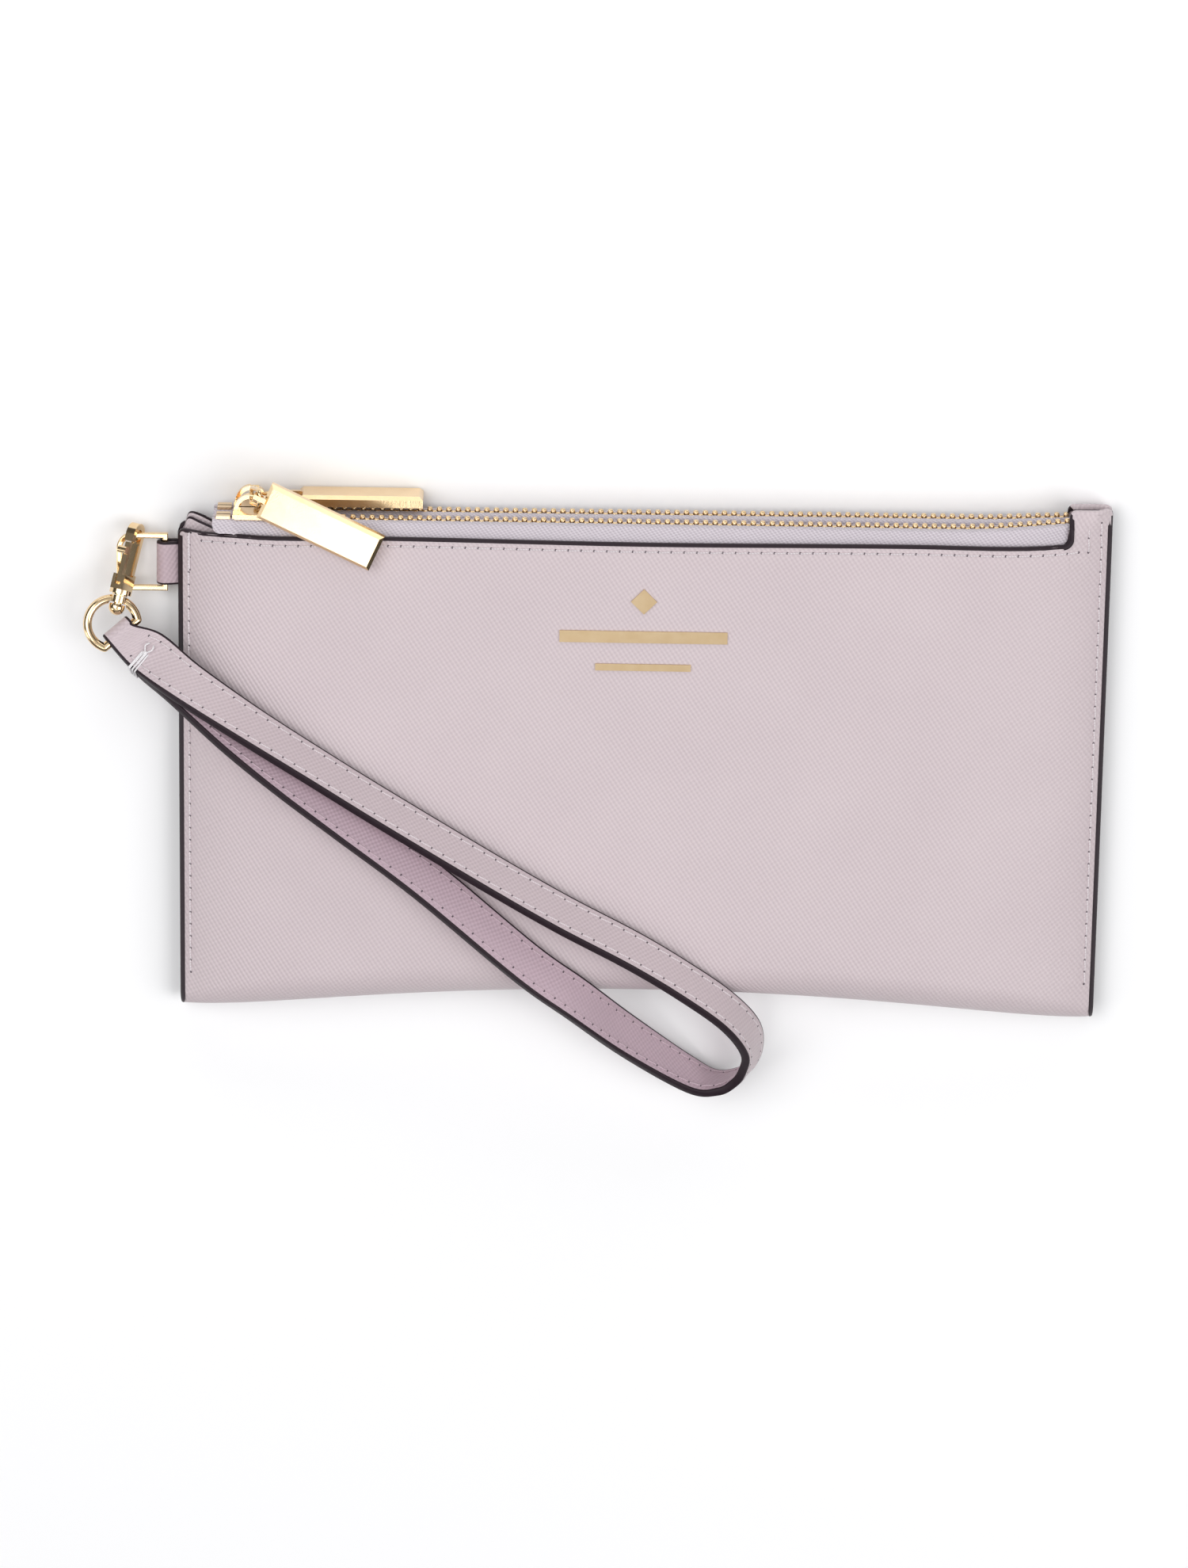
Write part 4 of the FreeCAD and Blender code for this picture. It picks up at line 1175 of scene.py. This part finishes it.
def corner_plies():
    """Ends of the inner plies, fanned where they leave the left seam."""
    build = Build()
    across = Vector((0.25, 1, 0)).normalized()
    for k, (depth, rise) in enumerate(((1.9, 1.5), (2.9, 2.2), (3.9, 2.0), (4.9, 1.3))):
        line = [
            (-HALF + 0.7, PANEL_TOP - 2.4, depth),
            (-HALF + 1.6, PANEL_TOP - 0.6 + rise * 0.5, depth + 0.1),
            (-HALF + 4.2, PANEL_TOP - 1.6 + rise * 0.85, depth + 0.5 * k),
            (-HALF + 9.0, PANEL_TOP - 2.2, depth + k),
        ]
        frames = [(Vector(point), across, OUT_Z, 3.4, 0.7) for point in line]
        strip(build, smooth_frames(frames, 6), 2 if k % 2 else 0)
    build.finish("seam_ply_ends", [LILAC, LILAC, PAINT])


wrist_strap()
bar_tack()
side_tab()
corner_plies()


# ---------- metal parts kept from the frame


EDGE_ANGLE = 35


def plate(node, material, soften):
    """A CAD node with its finish, its edges softened as plating leaves them."""
    part = nodes[node]
    part.data.materials.clear()
    part.data.materials.append(material)
    bevel = part.modifiers.new("soft_edges", "BEVEL")
    bevel.width = soften * MM
    bevel.segments = 2
    bevel.limit_method = "ANGLE"
    bevel.angle_limit = math.radians(EDGE_ANGLE)
    part.data.shade_smooth()
    part.data.set_sharp_from_angle(angle=math.radians(EDGE_ANGLE))


SOFTENED = {
    "top_stops": 0.15, "bottom_stop": 0.1, "slider_body": 0.18, "slider_bow": 0.12,
    "pull_link": 0.05,
}
for zip_name in CHAIN:
    for part_name, soften in SOFTENED.items():
        plate(f"{zip_name}_{part_name}", GOLD, soften)
plate("front_pull_tag", GOLD, 0.12)
plate("back_pull_tag", BRUSHED_GOLD, 0.12)
for node in (
    "side_ring", "clasp_hook", "clasp_gate", "clasp_gate_pin", "clasp_spring", "swivel_rivet",
    "swivel_eye",
):
    plate(node, GOLD, 0.12)
# The badge parts take the gold darkened as painted shade.
for node in ("badge_bar_long", "badge_bar_short", "badge_diamond"):
    plate(node, SHADED_BADGE_GOLD, 0.1)


# ---------- floor, light and camera


FLOOR_LEVEL, FLOOR_REACH = -0.3, 4000.0
CAMERA_TILT = Vector((0, 0.309, 0.951)).normalized()
CAMERA_TARGET = Vector((-10.1, -5.1, 10.0))
CAMERA_AWAY, CAMERA_ROLL, CAMERA_LENS = 2.0, -0.9, 212.6
SKY_SPAN = {"From Min": 0.45, "From Max": 0.95, "To Min": 0.09, "To Max": 0.62}


def floor():
    """A plain pale table top."""
    shader = Shader("pale_floor")
    shader.feed(
        shader.surface, Base_Color=(0.97, 0.97, 0.97, 1), Roughness=0.9, Specular_IOR_Level=0.2,
    )
    corners = [
        Vector((x * FLOOR_REACH, y * FLOOR_REACH, FLOOR_LEVEL)) * MM
        for x, y in ((-1, -1), (1, -1), (1, 1), (-1, 1))
    ]
    mesh = bpy.data.meshes.new("floor")
    mesh.from_pydata(corners, [], [(0, 1, 2, 3)])
    mesh.materials.append(shader.made)
    linked("floor", mesh)


def softbox(name, place, size, power):
    """An area light that faces the wallet."""
    light = bpy.data.lights.new(name, "AREA")
    light.shape = "RECTANGLE"
    light.size, light.size_y = size
    light.energy = power
    made = linked(name, light)
    made.location = place
    made.rotation_euler = (-Vector(place)).to_track_quat("-Z", "Y").to_euler()


def camera():
    """The camera, tipped towards the zip side of the wallet."""
    data = bpy.data.cameras.new("camera")
    data.sensor_width = 36.0
    data.lens = CAMERA_LENS
    data.clip_start, data.clip_end = 0.05, 20.0
    back = CAMERA_TILT
    roll = math.radians(CAMERA_ROLL)
    level_up = (UP_Y - back * back.y).normalized()
    level_right = level_up.cross(back)
    up = level_up * math.cos(roll) + level_right * math.sin(roll)
    right = level_right * math.cos(roll) - level_up * math.sin(roll)
    facing = Matrix((right, up, back)).transposed().to_4x4()
    made = linked("camera", data)
    made.matrix_world = Matrix.Translation(CAMERA_TARGET * MM + back * CAMERA_AWAY) @ facing
    bpy.context.scene.camera = made


def studio_world():
    """Soft light from overhead that falls away towards the walls."""
    world = bpy.data.worlds.new("studio")
    world.use_nodes = True
    tree = world.node_tree
    place, split, rise = (
        tree.nodes.new(f"ShaderNode{kind}") for kind in ("TexCoord", "SeparateXYZ", "MapRange")
    )
    rise.interpolation_type = "SMOOTHSTEP"
    for socket, value in SKY_SPAN.items():
        rise.inputs[socket].default_value = value
    tree.links.new(place.outputs["Generated"], split.inputs[0])
    tree.links.new(split.outputs["Z"], rise.inputs["Value"])
    sky = tree.nodes["Background"]
    sky.inputs["Color"].default_value = (0.97, 0.97, 1.0, 1)
    tree.links.new(rise.outputs[0], sky.inputs["Strength"])
    bpy.context.scene.world = world


floor()
softbox("key", (-0.6, 0.5, 1.3), (1.0, 1.0), 8.8)
softbox("fill", (0.9, -0.1, 1.2), (0.9, 1.2), 10)
softbox("rim", (0.1, 1.3, 0.5), (1.6, 0.5), 4)
softbox("left", (-1.3, -0.4, 0.5), (0.4, 1.0), 2.5)
softbox("glint", (-0.30, -0.32, 1.42), (0.30, 0.28), 0.8)
studio_world()
bpy.context.scene.view_settings.view_transform = "Standard"
camera()
